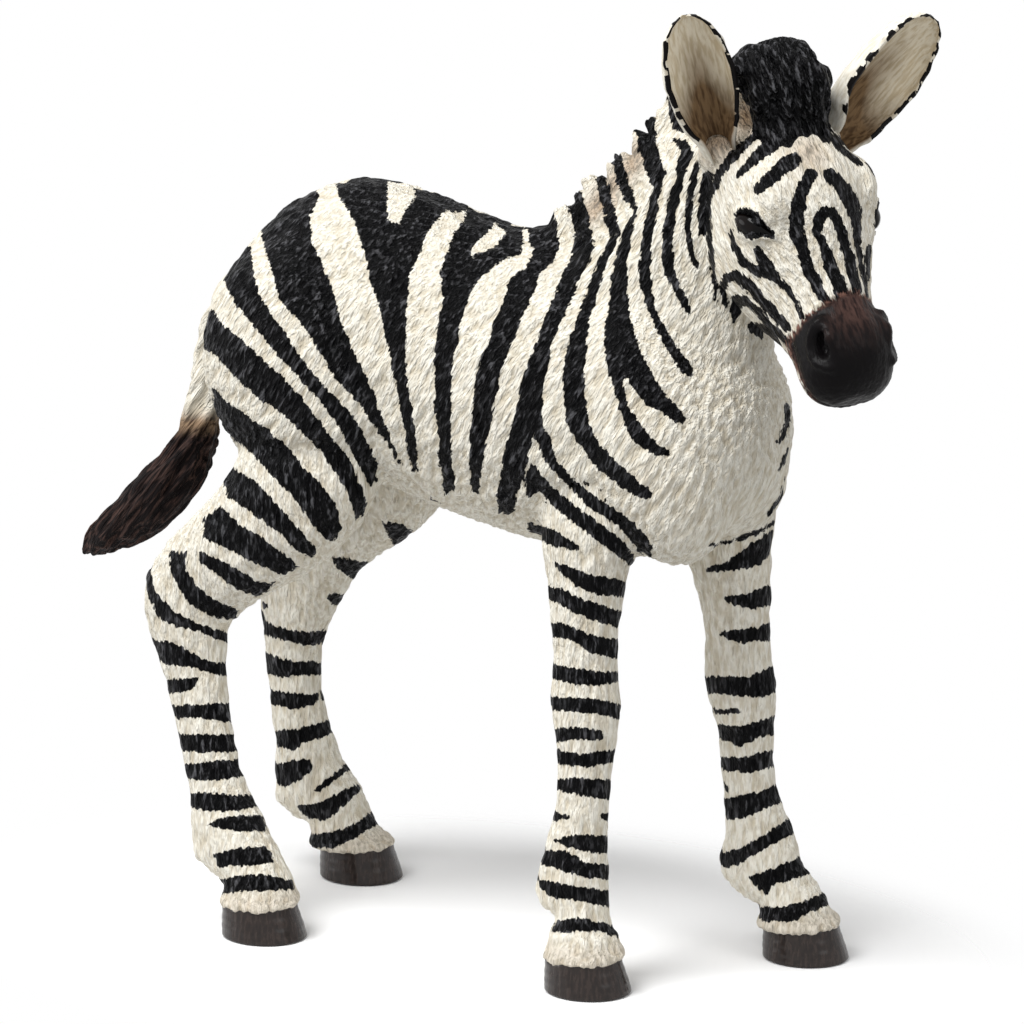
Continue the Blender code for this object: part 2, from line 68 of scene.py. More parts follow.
# The head: its root between the ears, its turn to the right and the slope of the face
HEAD_ROOT = np.array((23.76, -1.02, 60.94))
HEAD_TURN = math.radians(-29)
HEAD_PITCH = math.radians(36)
EYE_PLACES = {-1: np.array((6.78, 4.18, -0.30)), 1: np.array((7.35, 4.32, 0.45))}
EYE_SINKS = {-1: -0.30, 1: -0.12}
EYE_HALF_LENGTH = 1.45
EYE_HALF_HEIGHT = 0.74
EYE_TILT = math.radians(42)
EYE_FORWARD = math.radians(38)
EYE_POINTING = 0.45
EYE_BULGE = 0.80
EYE_DOME = 1.2
EYE_HOLLOW = 0.55
EYE_SIDES = 48
EYE_RINGS = (1.14, 1.08, 1.0, 0.9, 0.78, 0.64, 0.48, 0.32, 0.16, 0.04)
UPPER_LID = 0.20
LOWER_LID = 0.12
NOSTRIL_PLACE = np.array((16.0, 3.16, 0.36))
NOSTRIL_RADII = (1.10, 0.50)
NOSTRIL_DEPTH = 0.75
NOSTRIL_RIM = 0.26
MOUTH_HEIGHT = -2.35
MOUTH_DEPTH = 0.16
JAW_NARROWING = 0.8

# Masses on the left of the face: middle, radii, the share of these at full height, and the height
FACE_MASSES = (
    ((7.0, 4.4, 0.2), (2.6, 1.6, 1.6), 0.4, 0.22),
    ((10.0, 3.4, 0.8), (3.4, 1.6, 2.0), 0.3, 0.35),
)

# The forelock, and the side of it that hangs over to the right
FORELOCK_PLACE = np.array((-1.9, 0.0, 1.3))
FORELOCK_RADII = np.array((3.85, 3.1, 4.4))
FORELOCK_EDGE = 1.16
FORELOCK_REACH = 3.6
FORELOCK_SIDE_PX = (764, 78)
FORELOCK_RAGGED = 0.22
TUFT_PLACE = np.array((-4.2, -2.4, 1.8))
TUFT_RADII = (2.4, 2.4, 3.4)
TUFT_PUSH = 0.9
TUFT_PAINT_INSET = (0, 0.5, 0)
TUFT_PAINT_RADII = (2.4, 2.2, 3.4)
TUFT_PAINT_REACH = 2.2

# The mane: the way its locks stand, how far they rise, and where it lifts off the withers
MANE_WAY = (-0.62, 0, 0.79)
MANE_LOCKS = 0.40
MANE_LIFT = 0.8
MANE_LIFT_PX = 606
MANE_LIFT_REACH_PX = 22

# Ears: the side, the seat on the head, the way it rises and the way it opens, each down the face,
# outward and out of the brow, and its girth
EAR_LENGTH = 10.0
EAR_WIDTH = 5.7
EAR_DEPTH = 3.8
EAR_POSES = {
    "ear_right": (-1, (-0.10, 4.45, -1.05), (-0.61, 0.38, 0.69), (0.48, 0.30, 0.80), 0.88),
    "ear_left": (1, (0.60, 4.75, -0.36), (-0.48, 0.63, 0.60), (0.86, 0.06, 0.50), 1.12),
}
EAR_WALL = 0.48
EAR_ROOT_PLACE = np.array((-0.4, 0, -1.5))
EAR_ROOT_RADIUS = 1.45
EAR_CURL = math.radians(104)
EAR_TIP_LEAN = 0.25
EAR_RIM_REACH = 3.7
EAR_RIM = 0.34
EAR_INNER_RIM = 0.20
EAR_HAIR = 0.05
EAR_SIDES = 44
EAR_RISES = 72
# Up the ear, half width and half depth as shares
EAR_SHARES = (
    (-0.14, 0.20, 0.34),
    (0.00, 0.27, 0.42),
    (0.14, 0.38, 0.50),
    (0.32, 0.47, 0.50),
    (0.52, 0.50, 0.45),
    (0.72, 0.45, 0.37),
    (0.87, 0.345, 0.27),
    (0.95, 0.225, 0.18),
    (0.99, 0.11, 0.12),
    (1.00, 0.06, 0.10),
)

# How the skin is run together, smoothed and parted
WELD_GAP = 0.002
SEAM_SWELL = 0.24
SKIN_GRAIN = 0.34
SKIN_ROUNDS = 10
SKIN_SOFTNESS = 0.8
TRUNK_ROUNDS = 40
BORDER_ROUNDS = 6
NODE_REACH = 4.0
CAP_SINK = 0.5

# Hooves, whose wall is higher at the toe
HOOF_LENGTH = 6.2
HOOF_WIDTH = 5.6
HOOF_HEIGHT = 2.65
HOOF_SLOPE = 0.10
HOOF_SIDES = 96
HOOF_RISES = 40
HOOF_CROWDING = 1.3
HOOF_RING_DEPTH = 0.012
HOOF_RING_PITCH = 26
HOOF_STREAK_DEPTH = 0.03
HOOF_STREAKS = 9
# Up the hoof: height, place ahead and size as shares
HOOF_SHARES = (
    (0.00, 0.020, 0.970),
    (0.03, 0.020, 1.000),
    (0.12, 0.015, 0.992),
    (0.30, 0.000, 0.965),
    (0.50, -0.018, 0.930),
    (0.70, -0.034, 0.895),
    (0.85, -0.045, 0.870),
    (0.95, -0.050, 0.840),
    (1.05, -0.050, 0.700),
)

# How the skin is drawn in under the hoof, and how far the hair of the coronet hangs over it
FOOT_TUCK = 0.21
FOOT_RAISE = 0.5
CORONET_FRINGE = 0.10

# What brings the noise to about -1 to 1
NOISE_GAIN = 2.2

# Relief of the hair: width and length of a strand, and depth
BODY_HAIR = (0.40, 1.5, 0.105)
LEG_HAIR = (0.40, 1.5, 0.095)
HEAD_HAIR = (0.36, 1.3, 0.060)
SNOUT_HAIR = (0.30, 0.40, 0.020)
TAIL_HAIR = (0.48, 3.6, 0.230)
MANE_HAIR = (0.46, 4.5, 0.20)
FORELOCK_HAIR_DEPTH = 0.27

# The way that the hair lies in relief and in paint, and how drawn out the painted hair is
FLANK_RELIEF_WAY = (-0.50, 0, -0.87)
NECK_RELIEF_WAY = (-0.15, 0, -1.0)
BACK_RELIEF_WAY = (-1.0, 0, -0.15)
HAIR_WAYS = {"torso": (-0.45, 0, -0.9), "tail": (-0.62, 0, -0.78)}
LEG_HAIR_WAY = (0, 0, -1)
COAT_STROKE = 3.6
TAIL_STROKE = 9.0

# Between these heights the legs' own stripes give way to those of the body
TORSO_PAINT_Z = 31.0
LEG_PAINT_Z = 26.0
# Above these heights the left thighs take the stripes of the right ones
TWIN_PAINT_Z = (13, 16)
CORONET_Z = 3.0

# Brown washes on the head: place, reach and strength
BROWN_WASHES = (
    ((3.4, -1.0, 4.6), 1.7, 0.80),
    ((-0.2, -4.6, -0.8), 1.8, 0.90),
    ((0.6, 3.9, 0.6), 1.3, 0.45),
)
# How brown the mane's foot, the place by the right ear and the hair over the hooves are
MANE_BROWN = 0.75
EAR_BROWN = 0.9
FOOT_BROWN = 0.30
# The brown between the right ear and the forelock, and where the tail turns brown and then dark
EAR_WASH_PX = (746, 116)
EAR_WASH_RADII_PX = (13, 22)
TAIL_BROWN_PX = (404, 424)
TAIL_DARK_PX = (414, 440)
BLUSH_PLACE = 13.2
BLUSH_REACH = 2.3

# Limits of the painted distance, how far a stroke's edge runs beyond its width, and how far round
# a shape its distance is measured
FAR = 1e3
PAINT_REACH = 1.5
STROKE_SPREAD_PX = 0.45
SHAPE_MARGIN_PX = 30

# Lamps: name, azimuth and elevation in degrees, distance and width in metres, and watts
LAMPS = (
    ("key", -25, 58, 0.45, 0.24, 2.05),
    ("low", -62, 12, 0.50, 0.24, 0.50),
    ("side", 80, 35, 0.50, 0.30, 0.45),
)
FILL_STRENGTH = 0.51

# The floor fades out between two distances, and nearer than that to the left and right
FLOOR_RADIUS = 300
FLOOR_DROP = 0.05
FLOOR_SHADE = 0.93
FLOOR_FADE = (26, 44)
FLOOR_SQUEEZE = 1.4


def unit(vector):
    return vector / np.linalg.norm(vector)


def smooth_step(low, high, value):
    share = np.clip((value - low) / (high - low), 0.0, 1.0)
    return share * share * (3 - 2 * share)


def bump(value, middle, width):
    """A bell round the middle."""
    return np.exp(-(((value - middle) / width) ** 2))


class View:
    """The photograph's camera, which turns places into pixels."""

    def __init__(self):
        flat = math.cos(VIEW_ELEVATION)
        self.back = np.array(
            (math.sin(VIEW_AZIMUTH) * flat, -math.cos(VIEW_AZIMUTH) * flat, math.sin(VIEW_ELEVATION))
        )
        self.right = np.array((math.cos(VIEW_AZIMUTH), math.sin(VIEW_AZIMUTH), 0.0))
        self.up = np.cross(self.back, self.right)
        self.eye = VIEW_TARGET + self.back * VIEW_DISTANCE
        self.focal = PIXELS_PER_MM * VIEW_DISTANCE

    def pixels(self, spots):
        rel = spots - self.eye
        depth = -(rel @ self.back)
        across = IMAGE_SIZE / 2 + self.focal * (rel @ self.right) / depth
        down = IMAGE_SIZE / 2 - self.focal * (rel @ self.up) / depth
        return across, down

    def facing(self, spots, normals):
        """Cosine between each normal and the way to the camera."""
        way = self.eye - spots
        way /= np.linalg.norm(way, axis=1)[:, None]
        return np.einsum("ij,ij->i", way, normals)


VIEW = View()


class HeadFrame:
    """X down the face, Y to the foal's left, Z out of the brow."""

    def __init__(self):
        level = math.sin(HEAD_PITCH)
        self.down = np.array(
            (math.cos(HEAD_TURN) * level, math.sin(HEAD_TURN) * level, -math.cos(HEAD_PITCH))
        )
        self.left = np.array((-math.sin(HEAD_TURN), math.cos(HEAD_TURN), 0.0))
        self.out = np.cross(self.down, self.left)
        self.axes = np.array((self.down, self.left, self.out))

    def local(self, spots):
        return (spots - HEAD_ROOT) @ self.axes.T

    def world(self, spots):
        return np.asarray(spots) @ self.axes + HEAD_ROOT

    def mirrored(self, spots):
        local = self.local(spots)
        local[:, 1] *= -1
        return self.world(local)


HEAD = HeadFrame()


class EarFrame:
    """X towards the opening, Y across the leaf, Z up the ear."""

    def __init__(self, name):
        side, seat, rise, opening, self.girth = EAR_POSES[name]
        outward = np.array((1, side, 1))
        rise = unit((np.array(rise) * outward) @ HEAD.axes)
        opening = (np.array(opening) * outward) @ HEAD.axes
        across = unit(np.cross(rise, opening))
        self.seat = HEAD.world(np.array(seat) * outward)
        self.axes = np.array((np.cross(across, rise), across, rise))

    def world(self, local):
        return local @ self.axes + self.seat


# Meshes as arrays


class Skin:
    """A quad mesh as arrays of places, faces and labels."""

    def __init__(self, mesh):
        count = len(mesh.vertices)
        spots = np.empty(count * 3)
        mesh.vertices.foreach_get("co", spots)
        self.spots = spots.reshape(-1, 3) / MM
        corners = np.empty(len(mesh.loops), dtype=np.int64)
        mesh.loops.foreach_get("vertex_index", corners)
        self.faces = corners.reshape(-1, 4)
        self.labels = np.empty(len(self.faces), dtype=np.int32)
        mesh.polygons.foreach_get("material_index", self.labels)
        edges = np.empty(len(mesh.edges) * 2, dtype=np.int64)
        mesh.edges.foreach_get("vertices", edges)
        self.edges = edges.reshape(-1, 2)

    def normals(self):
        corner = self.spots[self.faces]
        across = np.cross(corner[:, 2] - corner[:, 0], corner[:, 3] - corner[:, 1])
        total = np.zeros_like(self.spots)
        for k in range(4):
            for axis in range(3):
                total[:, axis] += np.bincount(
                    self.faces[:, k], weights=across[:, axis], minlength=len(self.spots)
                )
        return total / np.maximum(np.linalg.norm(total, axis=1), 1e-9)[:, None]

    def spread(self, values):
        """The mean of each vertex's neighbours."""
        near, far = self.edges[:, 0], self.edges[:, 1]
        count = np.bincount(near, minlength=len(self.spots)) + np.bincount(far, minlength=len(self.spots))
        means = np.empty_like(values)
        for axis in range(values.shape[1]):
            means[:, axis] = np.bincount(near, weights=values[far, axis], minlength=len(self.spots))
            means[:, axis] += np.bincount(far, weights=values[near, axis], minlength=len(self.spots))
        return means / np.maximum(count, 1)[:, None]

    def smooth(self, rounds, weight):
        """Smooths the places with hardly any shrinking; the weight may differ by vertex."""
        weight = np.reshape(weight, (-1, 1))
        for _ in range(rounds):
            for push in (0.5, -0.52):
                self.spots += push * weight * (self.spread(self.spots) - self.spots)

    def label_shares(self, count, rounds=4):
        """How much of each label's faces lie round each vertex."""
        shares = np.zeros((len(self.spots), count))
        for k in range(4):
            np.add.at(shares, (self.faces[:, k], self.labels), 1.0)
        shares /= np.maximum(shares.sum(axis=1), 1)[:, None]
        for _ in range(rounds):
            shares = (shares + self.spread(shares)) / 2
        return shares

    def mesh(self, name):
        mesh = bpy.data.meshes.new(name)
        mesh.vertices.add(len(self.spots))
        mesh.vertices.foreach_set("co", (self.spots * MM).ravel())
        mesh.loops.add(self.faces.size)
        mesh.loops.foreach_set("vertex_index", self.faces.ravel())
        mesh.polygons.add(len(self.faces))
        mesh.polygons.foreach_set("loop_start", np.arange(0, self.faces.size, 4))
        mesh.polygons.foreach_set("material_index", self.labels)
        mesh.update(calc_edges=True)
        return mesh


def linked(name, data):
    """A new object of the scene."""
    obj = bpy.data.objects.new(name, data)
    bpy.context.scene.collection.objects.link(obj)
    return obj


def mesh_of(form, name):
    """A mesh of the form, which goes."""
    mesh = bpy.data.meshes.new(name)
    form.to_mesh(mesh)
    form.free()
    return mesh


def evaluated(obj):
    """The object's mesh with its modifiers applied; the object itself goes."""
    graph = bpy.context.evaluated_depsgraph_get()
    mesh = bpy.data.meshes.new_from_object(obj.evaluated_get(graph))
    bpy.data.objects.remove(obj)
    return mesh


def node_tree(node):
    """A search tree of the node's triangles, in millimetres."""
    mesh = frame["nodes"][node].data
    spots = [vert.co / MM for vert in mesh.vertices]
    return BVHTree.FromPolygons(spots, [tuple(face.vertices) for face in mesh.polygons])


def run_together():
    """One closed skin over all nodes, with the seams between them closed."""
    form = bmesh.new()
    for node in SKIN_NODES:
        form.from_mesh(frame["nodes"][node].data)
    for name in EARS:
        ear = EarFrame(name)
        place = Matrix.Translation(Vector(ear.world(EAR_ROOT_PLACE)) * MM)
        bmesh.ops.create_icosphere(form, subdivisions=3, radius=EAR_ROOT_RADIUS * MM, matrix=place)
    bmesh.ops.remove_doubles(form, verts=form.verts, dist=WELD_GAP * MM)
    form.normal_update()
    for vert in form.verts:
        vert.co += vert.normal * (SEAM_SWELL * MM)
    obj = linked("skin", mesh_of(form, "skin"))
    remesh = obj.modifiers.new("remesh", "REMESH")
    remesh.mode = "VOXEL"
    remesh.voxel_size = SKIN_GRAIN * MM
    form = bmesh.new()
    form.from_mesh(evaluated(obj))
    keep_largest(form)
    return Skin(mesh_of(form, "skin"))


def keep_largest(form):
    """Deletes all bodies of the mesh but the one with most vertices."""
    seen = set()
    bodies = []
    for start in form.verts:
        if start in seen:
            continue
        seen.add(start)
        body = [start]
        for vert in body:
            for edge in vert.link_edges:
                other = edge.other_vert(vert)
                if other not in seen:
                    seen.add(other)
                    body.append(other)
        bodies.append(body)
    bodies.sort(key=len)
    for body in bodies[:-1]:
        bmesh.ops.delete(form, geom=body, context="VERTS")


def nearest_nodes(spots):
    """The number of the nearest node to each spot."""
    trees = [node_tree(node) for node in SKIN_NODES]
    labels = np.empty(len(spots), dtype=np.int32)
    for i, spot in enumerate(spots):
        reach = [tree.find_nearest(spot, NODE_REACH)[3] for tree in trees]
        labels[i] = min(range(len(reach)), key=lambda k: FAR if reach[k] is None else reach[k])
    return labels


# Strokes and outlines of the painted stripes, in pixels of the photograph. An outline is a list of
# corners, and a stroke is a list of points that each have a half width.

BODY_OUTLINES_PX = (
    # Rump and flank, from the rear forward
    ((251, 247), (251, 256), (255, 282), (262, 302), (280, 327), (302, 360), (327, 390), (350, 412),
     (365, 437), (377, 464), (376, 480), (370, 485), (362, 470), (350, 447), (340, 427), (320, 400),
     (302, 380), (280, 357), (260, 332), (236, 304), (225, 282), (212, 262), (230, 238)),
    ((316, 165), (316, 184), (318, 202), (309, 216), (312, 242), (322, 265), (332, 290), (340, 320),
     (352, 350), (365, 375), (377, 405), (387, 430), (401, 465), (390, 447), (377, 430), (365, 410),
     (352, 395), (335, 377), (322, 355), (310, 335), (295, 315), (280, 300), (274, 277), (267, 255),
     (262, 232), (252, 215), (285, 165)),
    ((336, 165), (336, 181), (340, 197), (352, 215), (360, 237), (367, 260), (370, 280), (380, 305),
     (385, 332), (392, 360), (395, 380), (400, 405), (405, 432), (412, 469), (417, 472), (415, 435),
     (412, 410), (407, 385), (405, 360), (406, 335), (406, 305), (410, 272), (420, 252), (427, 232),
     (445, 210), (467, 211), (476, 200), (476, 175), (440, 160), (400, 155)),
    ((467, 208), (465, 220), (455, 232), (447, 255), (441, 272), (444, 300), (437, 330), (435, 360),
     (435, 410), (439, 435), (439, 460), (445, 494), (455, 490), (454, 477), (451, 455), (451, 385),
     (452, 365), (457, 340), (461, 320), (470, 290), (485, 272), (502, 260), (520, 253), (523, 242),
     (521, 226), (521, 205), (490, 185), (470, 175)),
    ((529, 205), (529, 226), (530, 242), (535, 250), (527, 267), (509, 280), (505, 300), (495, 320),
     (490, 340), (477, 372), (474, 397), (471, 435), (469, 460), (472, 492), (478, 494), (482, 467),
     (484, 447), (490, 422), (497, 392), (501, 370), (512, 340), (522, 315), (535, 290), (540, 272),
     (555, 257), (559, 245), (555, 221), (553, 205)),
    # Shoulder
    ((575, 243), (570, 262), (560, 280), (554, 300), (542, 325), (536, 346), (530, 360), (522, 382),
     (517, 410), (507, 442), (502, 470), (497, 495), (499, 511), (507, 515), (514, 510), (516, 495),
     (526, 465), (530, 447), (535, 427), (536, 438), (545, 460), (563, 480), (591, 508), (617, 525),
     (636, 547), (646, 562), (651, 560), (652, 546), (641, 530), (623, 514), (598, 499), (572, 479),
     (556, 460), (546, 432), (541, 412), (543, 387), (549, 362), (551, 342), (562, 320), (575, 290),
     (585, 267), (595, 247)),
    ((531, 464), (539, 470), (550, 486), (572, 504), (598, 523), (622, 541), (637, 562), (632, 567),
     (612, 551), (580, 527), (552, 504), (540, 490), (529, 497), (524, 480)),
    ((610, 238), (597, 265), (587, 290), (577, 320), (567, 347), (564, 370), (564, 395), (567, 420),
     (577, 442), (592, 461), (610, 478), (628, 491), (645, 499), (652, 497), (650, 491), (627, 472),
     (612, 457), (600, 445), (589, 425), (584, 400), (584, 370), (586, 340), (591, 312), (600, 285),
     (608, 260), (620, 232)),
    # Neck
    ((625, 228), (617, 250), (612, 275), (610, 300), (606, 325), (605, 350), (610, 375), (616, 392),
     (620, 410), (627, 430), (637, 443), (652, 453), (671, 457), (672, 454), (655, 442), (640, 425),
     (627, 405), (623, 382), (624, 372), (635, 390), (647, 405), (662, 412), (675, 422), (683, 423),
     (686, 418), (680, 410), (665, 395), (652, 375), (640, 350), (630, 320), (627, 290), (627, 260),
     (631, 235), (637, 208)),
    ((655, 188), (650, 200), (645, 220), (642, 240), (640, 265), (641, 287), (647, 307), (655, 325),
     (665, 345), (677, 365), (687, 377), (692, 375), (692, 370), (685, 358), (675, 345), (665, 328),
     (656, 310), (651, 290), (650, 265), (652, 240), (656, 215), (660, 190), (663, 182)),
    ((672, 138), (680, 150), (679, 162), (675, 182), (667, 205), (664, 230), (662, 255), (666, 275),
     (675, 292), (685, 310), (691, 316), (692, 313), (687, 300), (679, 285), (674, 265), (672, 240),
     (675, 215), (681, 190), (686, 170), (692, 153), (690, 145), (683, 140)),
    ((697, 160), (692, 170), (688, 190), (685, 215), (686, 240), (691, 260), (698, 269), (698, 265),
     (694, 250), (690, 230), (691, 207), (696, 185), (700, 163)),
    # Blocks of the mane
    ((566, 203), (571, 214), (577, 247), (595, 249), (590, 230), (585, 200), (580, 188)),
    ((595, 178), (597, 185), (602, 205), (610, 238), (620, 232), (613, 205), (607, 182), (603, 172)),
    ((611, 158), (614, 165), (617, 182), (630, 208), (637, 208), (627, 182), (622, 157), (617, 146)),
    ((634, 128), (637, 135), (640, 155), (647, 172), (655, 189), (661, 184), (665, 172), (660, 157),
     (657, 142), (655, 122), (652, 106)),
    ((668, 60), (668, 100), (672, 128), (684, 132), (700, 118), (712, 90), (700, 60)),
    # Haunch, from above down
    ((213, 311), (222, 325), (242, 340), (262, 360), (280, 375), (300, 397), (320, 422), (335, 442),
     (350, 460), (360, 485), (366, 505), (362, 515), (356, 520), (352, 507), (345, 487), (335, 470),
     (322, 452), (305, 435), (285, 415), (262, 400), (242, 382), (227, 367), (212, 352), (196, 344),
     (198, 320)),
    ((213, 388), (225, 400), (245, 415), (267, 430), (287, 447), (305, 470), (322, 487), (335, 505),
     (341, 525), (337, 537), (330, 541), (317, 530), (305, 512), (290, 492), (272, 475), (255, 455),
     (235, 440), (221, 430), (214, 410)),
    ((226, 462), (241, 474), (258, 483), (272, 500), (295, 525), (308, 540), (317, 552), (312, 558),
     (299, 552), (281, 534), (262, 519), (245, 508), (228, 496), (224, 480)),
    ((222, 506), (238, 524), (262, 538), (281, 553), (298, 566), (284, 574), (262, 566), (245, 557),
     (224, 546), (204, 538), (204, 520)),
    ((198, 551), (220, 561), (241, 571), (256, 581), (275, 583), (268, 590), (256, 596), (245, 593),
     (227, 582), (213, 571), (200, 561)),
    # Right hind leg
    ((168, 559), (187, 552), (186, 571), (195, 586), (213, 600), (238, 611), (236, 619), (220, 618),
     (199, 611), (184, 596), (174, 579)),
    ((145, 576), (156, 593), (174, 611), (191, 621), (213, 629), (236, 636), (233, 645), (216, 639),
     (199, 630), (177, 627), (159, 618), (154, 604), (143, 593), (136, 585)),
    ((146, 640), (174, 643), (195, 655), (213, 664), (233, 662), (233, 677), (206, 671), (188, 666),
     (166, 664), (152, 652)),
    ((162, 680), (185, 679), (197, 678), (196, 686), (188, 690), (166, 694)),
    ((170, 706), (200, 705), (234, 703), (235, 722), (215, 720), (200, 717), (172, 719)),
    ((174, 735), (205, 735), (239, 735), (240, 751), (215, 752), (176, 750)),
    ((182, 765), (205, 762), (225, 761), (244, 759), (247, 775), (222, 779), (200, 780), (184, 777)),
    ((186, 793), (210, 793), (235, 796), (254, 795), (259, 806), (235, 811), (205, 810), (186, 806)),
    ((207, 825), (222, 818), (240, 816), (262, 816), (268, 831), (245, 831), (225, 829)),
    ((214, 855), (235, 849), (266, 847), (275, 862), (250, 865), (219, 866)),
    ((216, 881), (240, 876), (265, 875), (291, 881), (294, 889), (268, 890), (245, 890), (228, 893),
     (214, 899)),
    # Right fore leg
    ((528, 523), (549, 528), (565, 537), (578, 546), (577, 551), (555, 546), (531, 536)),
    ((553, 562), (568, 567), (591, 575), (627, 582), (626, 597), (598, 594), (575, 586), (562, 573)),
    ((542, 585), (562, 589), (585, 601), (622, 612), (621, 628), (594, 620), (572, 611), (560, 603),
     (545, 598)),
    ((547, 622), (565, 624), (588, 635), (619, 640), (617, 659), (590, 652), (575, 641), (562, 637),
     (549, 638)),
    ((552, 663), (572, 668), (598, 672), (617, 672), (618, 681), (598, 685), (575, 684), (552, 678)),
    ((547, 697), (572, 698), (598, 699), (622, 706), (621, 720), (598, 713), (575, 711), (547, 710)),
    ((552, 729), (578, 728), (602, 731), (605, 737), (600, 740), (580, 739), (554, 742)),
    ((555, 749), (580, 755), (617, 750), (615, 762), (585, 767), (555, 763)),
    ((555, 780), (585, 778), (613, 781), (612, 800), (585, 796), (555, 789)),
    ((552, 811), (570, 817), (552, 822)),
    ((612, 811), (598, 816), (612, 824)),
    ((554, 840), (575, 835), (613, 837), (614, 854), (585, 851), (562, 845)),
    ((541, 851), (565, 851), (585, 863), (613, 866), (613, 880), (588, 877), (565, 871), (541, 863)),
    ((538, 880), (565, 885), (588, 889), (613, 891), (612, 907), (578, 900), (555, 898), (540, 889)),
    ((558, 921), (581, 918), (601, 923), (621, 929), (621, 937), (598, 931), (575, 931), (550, 932)),
)

BARE_OUTLINES_PX = (
    ((387, 181), (412, 184), (417, 197), (406, 210), (400, 224), (387, 222)),
    ((495, 222), (507, 233), (497, 245), (480, 254), (471, 258), (472, 246), (487, 232)),
)

CHEST_STROKES_PX = (
    ((786, 405, 1.5), (788, 420, 2.2), (783, 437, 1.5), (778, 443, 0.7)),
    ((789, 450, 1.0), (783, 462, 1.2), (779, 469, 0.6)),
    ((791, 470, 1.5), (786, 490, 2.5), (776, 506, 2.0), (768, 514, 0.8)),
)

FAR_HIND_OUTLINES_PX = (
    ((382, 522), (400, 524), (411, 530), (427, 529), (412, 540), (395, 546), (389, 535)),
    ((431, 497), (440, 504), (455, 511), (450, 514), (440, 509), (434, 501)),
    ((333, 557), (350, 560), (376, 564), (363, 582), (350, 577), (338, 568)),
    ((327, 596), (340, 594), (352, 597), (345, 606), (333, 605)),
    ((256, 597), (262, 599), (267, 606), (264, 608)),
    ((257, 618), (277, 627), (299, 632), (320, 632), (336, 627), (332, 643), (305, 645), (281, 639),
     (261, 634)),
    ((263, 652), (281, 659), (299, 662), (328, 663), (328, 674), (300, 675), (283, 677), (263, 671)),
    ((269, 690), (299, 694), (318, 694), (317, 703), (300, 708), (290, 709), (270, 703)),
    ((321, 687), (328, 684), (330, 701), (321, 699)),
    ((270, 732), (299, 729), (320, 723), (334, 720), (336, 731), (320, 738), (302, 743), (294, 750),
     (270, 744)),
    ((270, 766), (291, 761), (309, 760), (313, 768), (299, 780), (285, 786), (270, 783)),
    ((313, 791), (320, 785), (333, 775), (348, 762), (351, 768), (345, 772), (333, 781), (320, 791)),
    ((298, 807), (320, 803), (334, 796), (356, 785), (360, 790), (345, 803), (334, 814), (325, 820),
     (308, 818)),
    ((302, 836), (325, 834), (346, 829), (357, 823), (373, 811), (379, 823), (360, 834), (345, 843),
     (330, 848), (303, 846)),
)

FAR_FORE_OUTLINES_PX = (
    ((707, 568), (728, 562), (747, 547), (778, 527), (779, 545), (760, 565), (734, 570), (708, 572)),
    ((724, 598), (747, 594), (778, 583), (777, 604), (752, 609), (729, 603)),
    ((718, 632), (741, 630), (760, 628), (776, 620), (776, 641), (760, 640), (744, 643), (726, 638)),
    ((703, 677), (728, 677), (750, 677), (780, 663), (781, 689), (760, 697), (734, 695), (705, 692)),
    ((711, 708), (720, 710), (741, 709), (741, 713), (720, 714), (713, 712)),
    ((713, 725), (744, 726), (760, 721), (781, 715), (779, 733), (760, 736), (741, 746), (718, 738)),
    ((720, 758), (747, 757), (778, 749), (778, 765), (750, 772), (720, 770)),
    ((724, 782), (728, 787), (726, 793)),
    ((723, 799), (757, 793), (781, 783), (784, 801), (765, 808), (747, 817), (725, 820)),
    ((721, 855), (747, 845), (770, 832), (791, 817), (796, 832), (770, 845), (741, 863), (721, 869)),
    ((750, 877), (776, 868), (809, 853), (814, 872), (790, 880), (773, 884), (766, 895), (755, 884)),
    ((759, 907), (786, 907), (809, 900), (825, 892), (831, 903), (812, 911), (793, 921), (762, 921)),
)
FAR_FORE_STROKES_PX = (
    ((711, 545, 0.8), (741, 539, 1.0), (760, 531, 1.2), (776, 522, 1.5)),
)

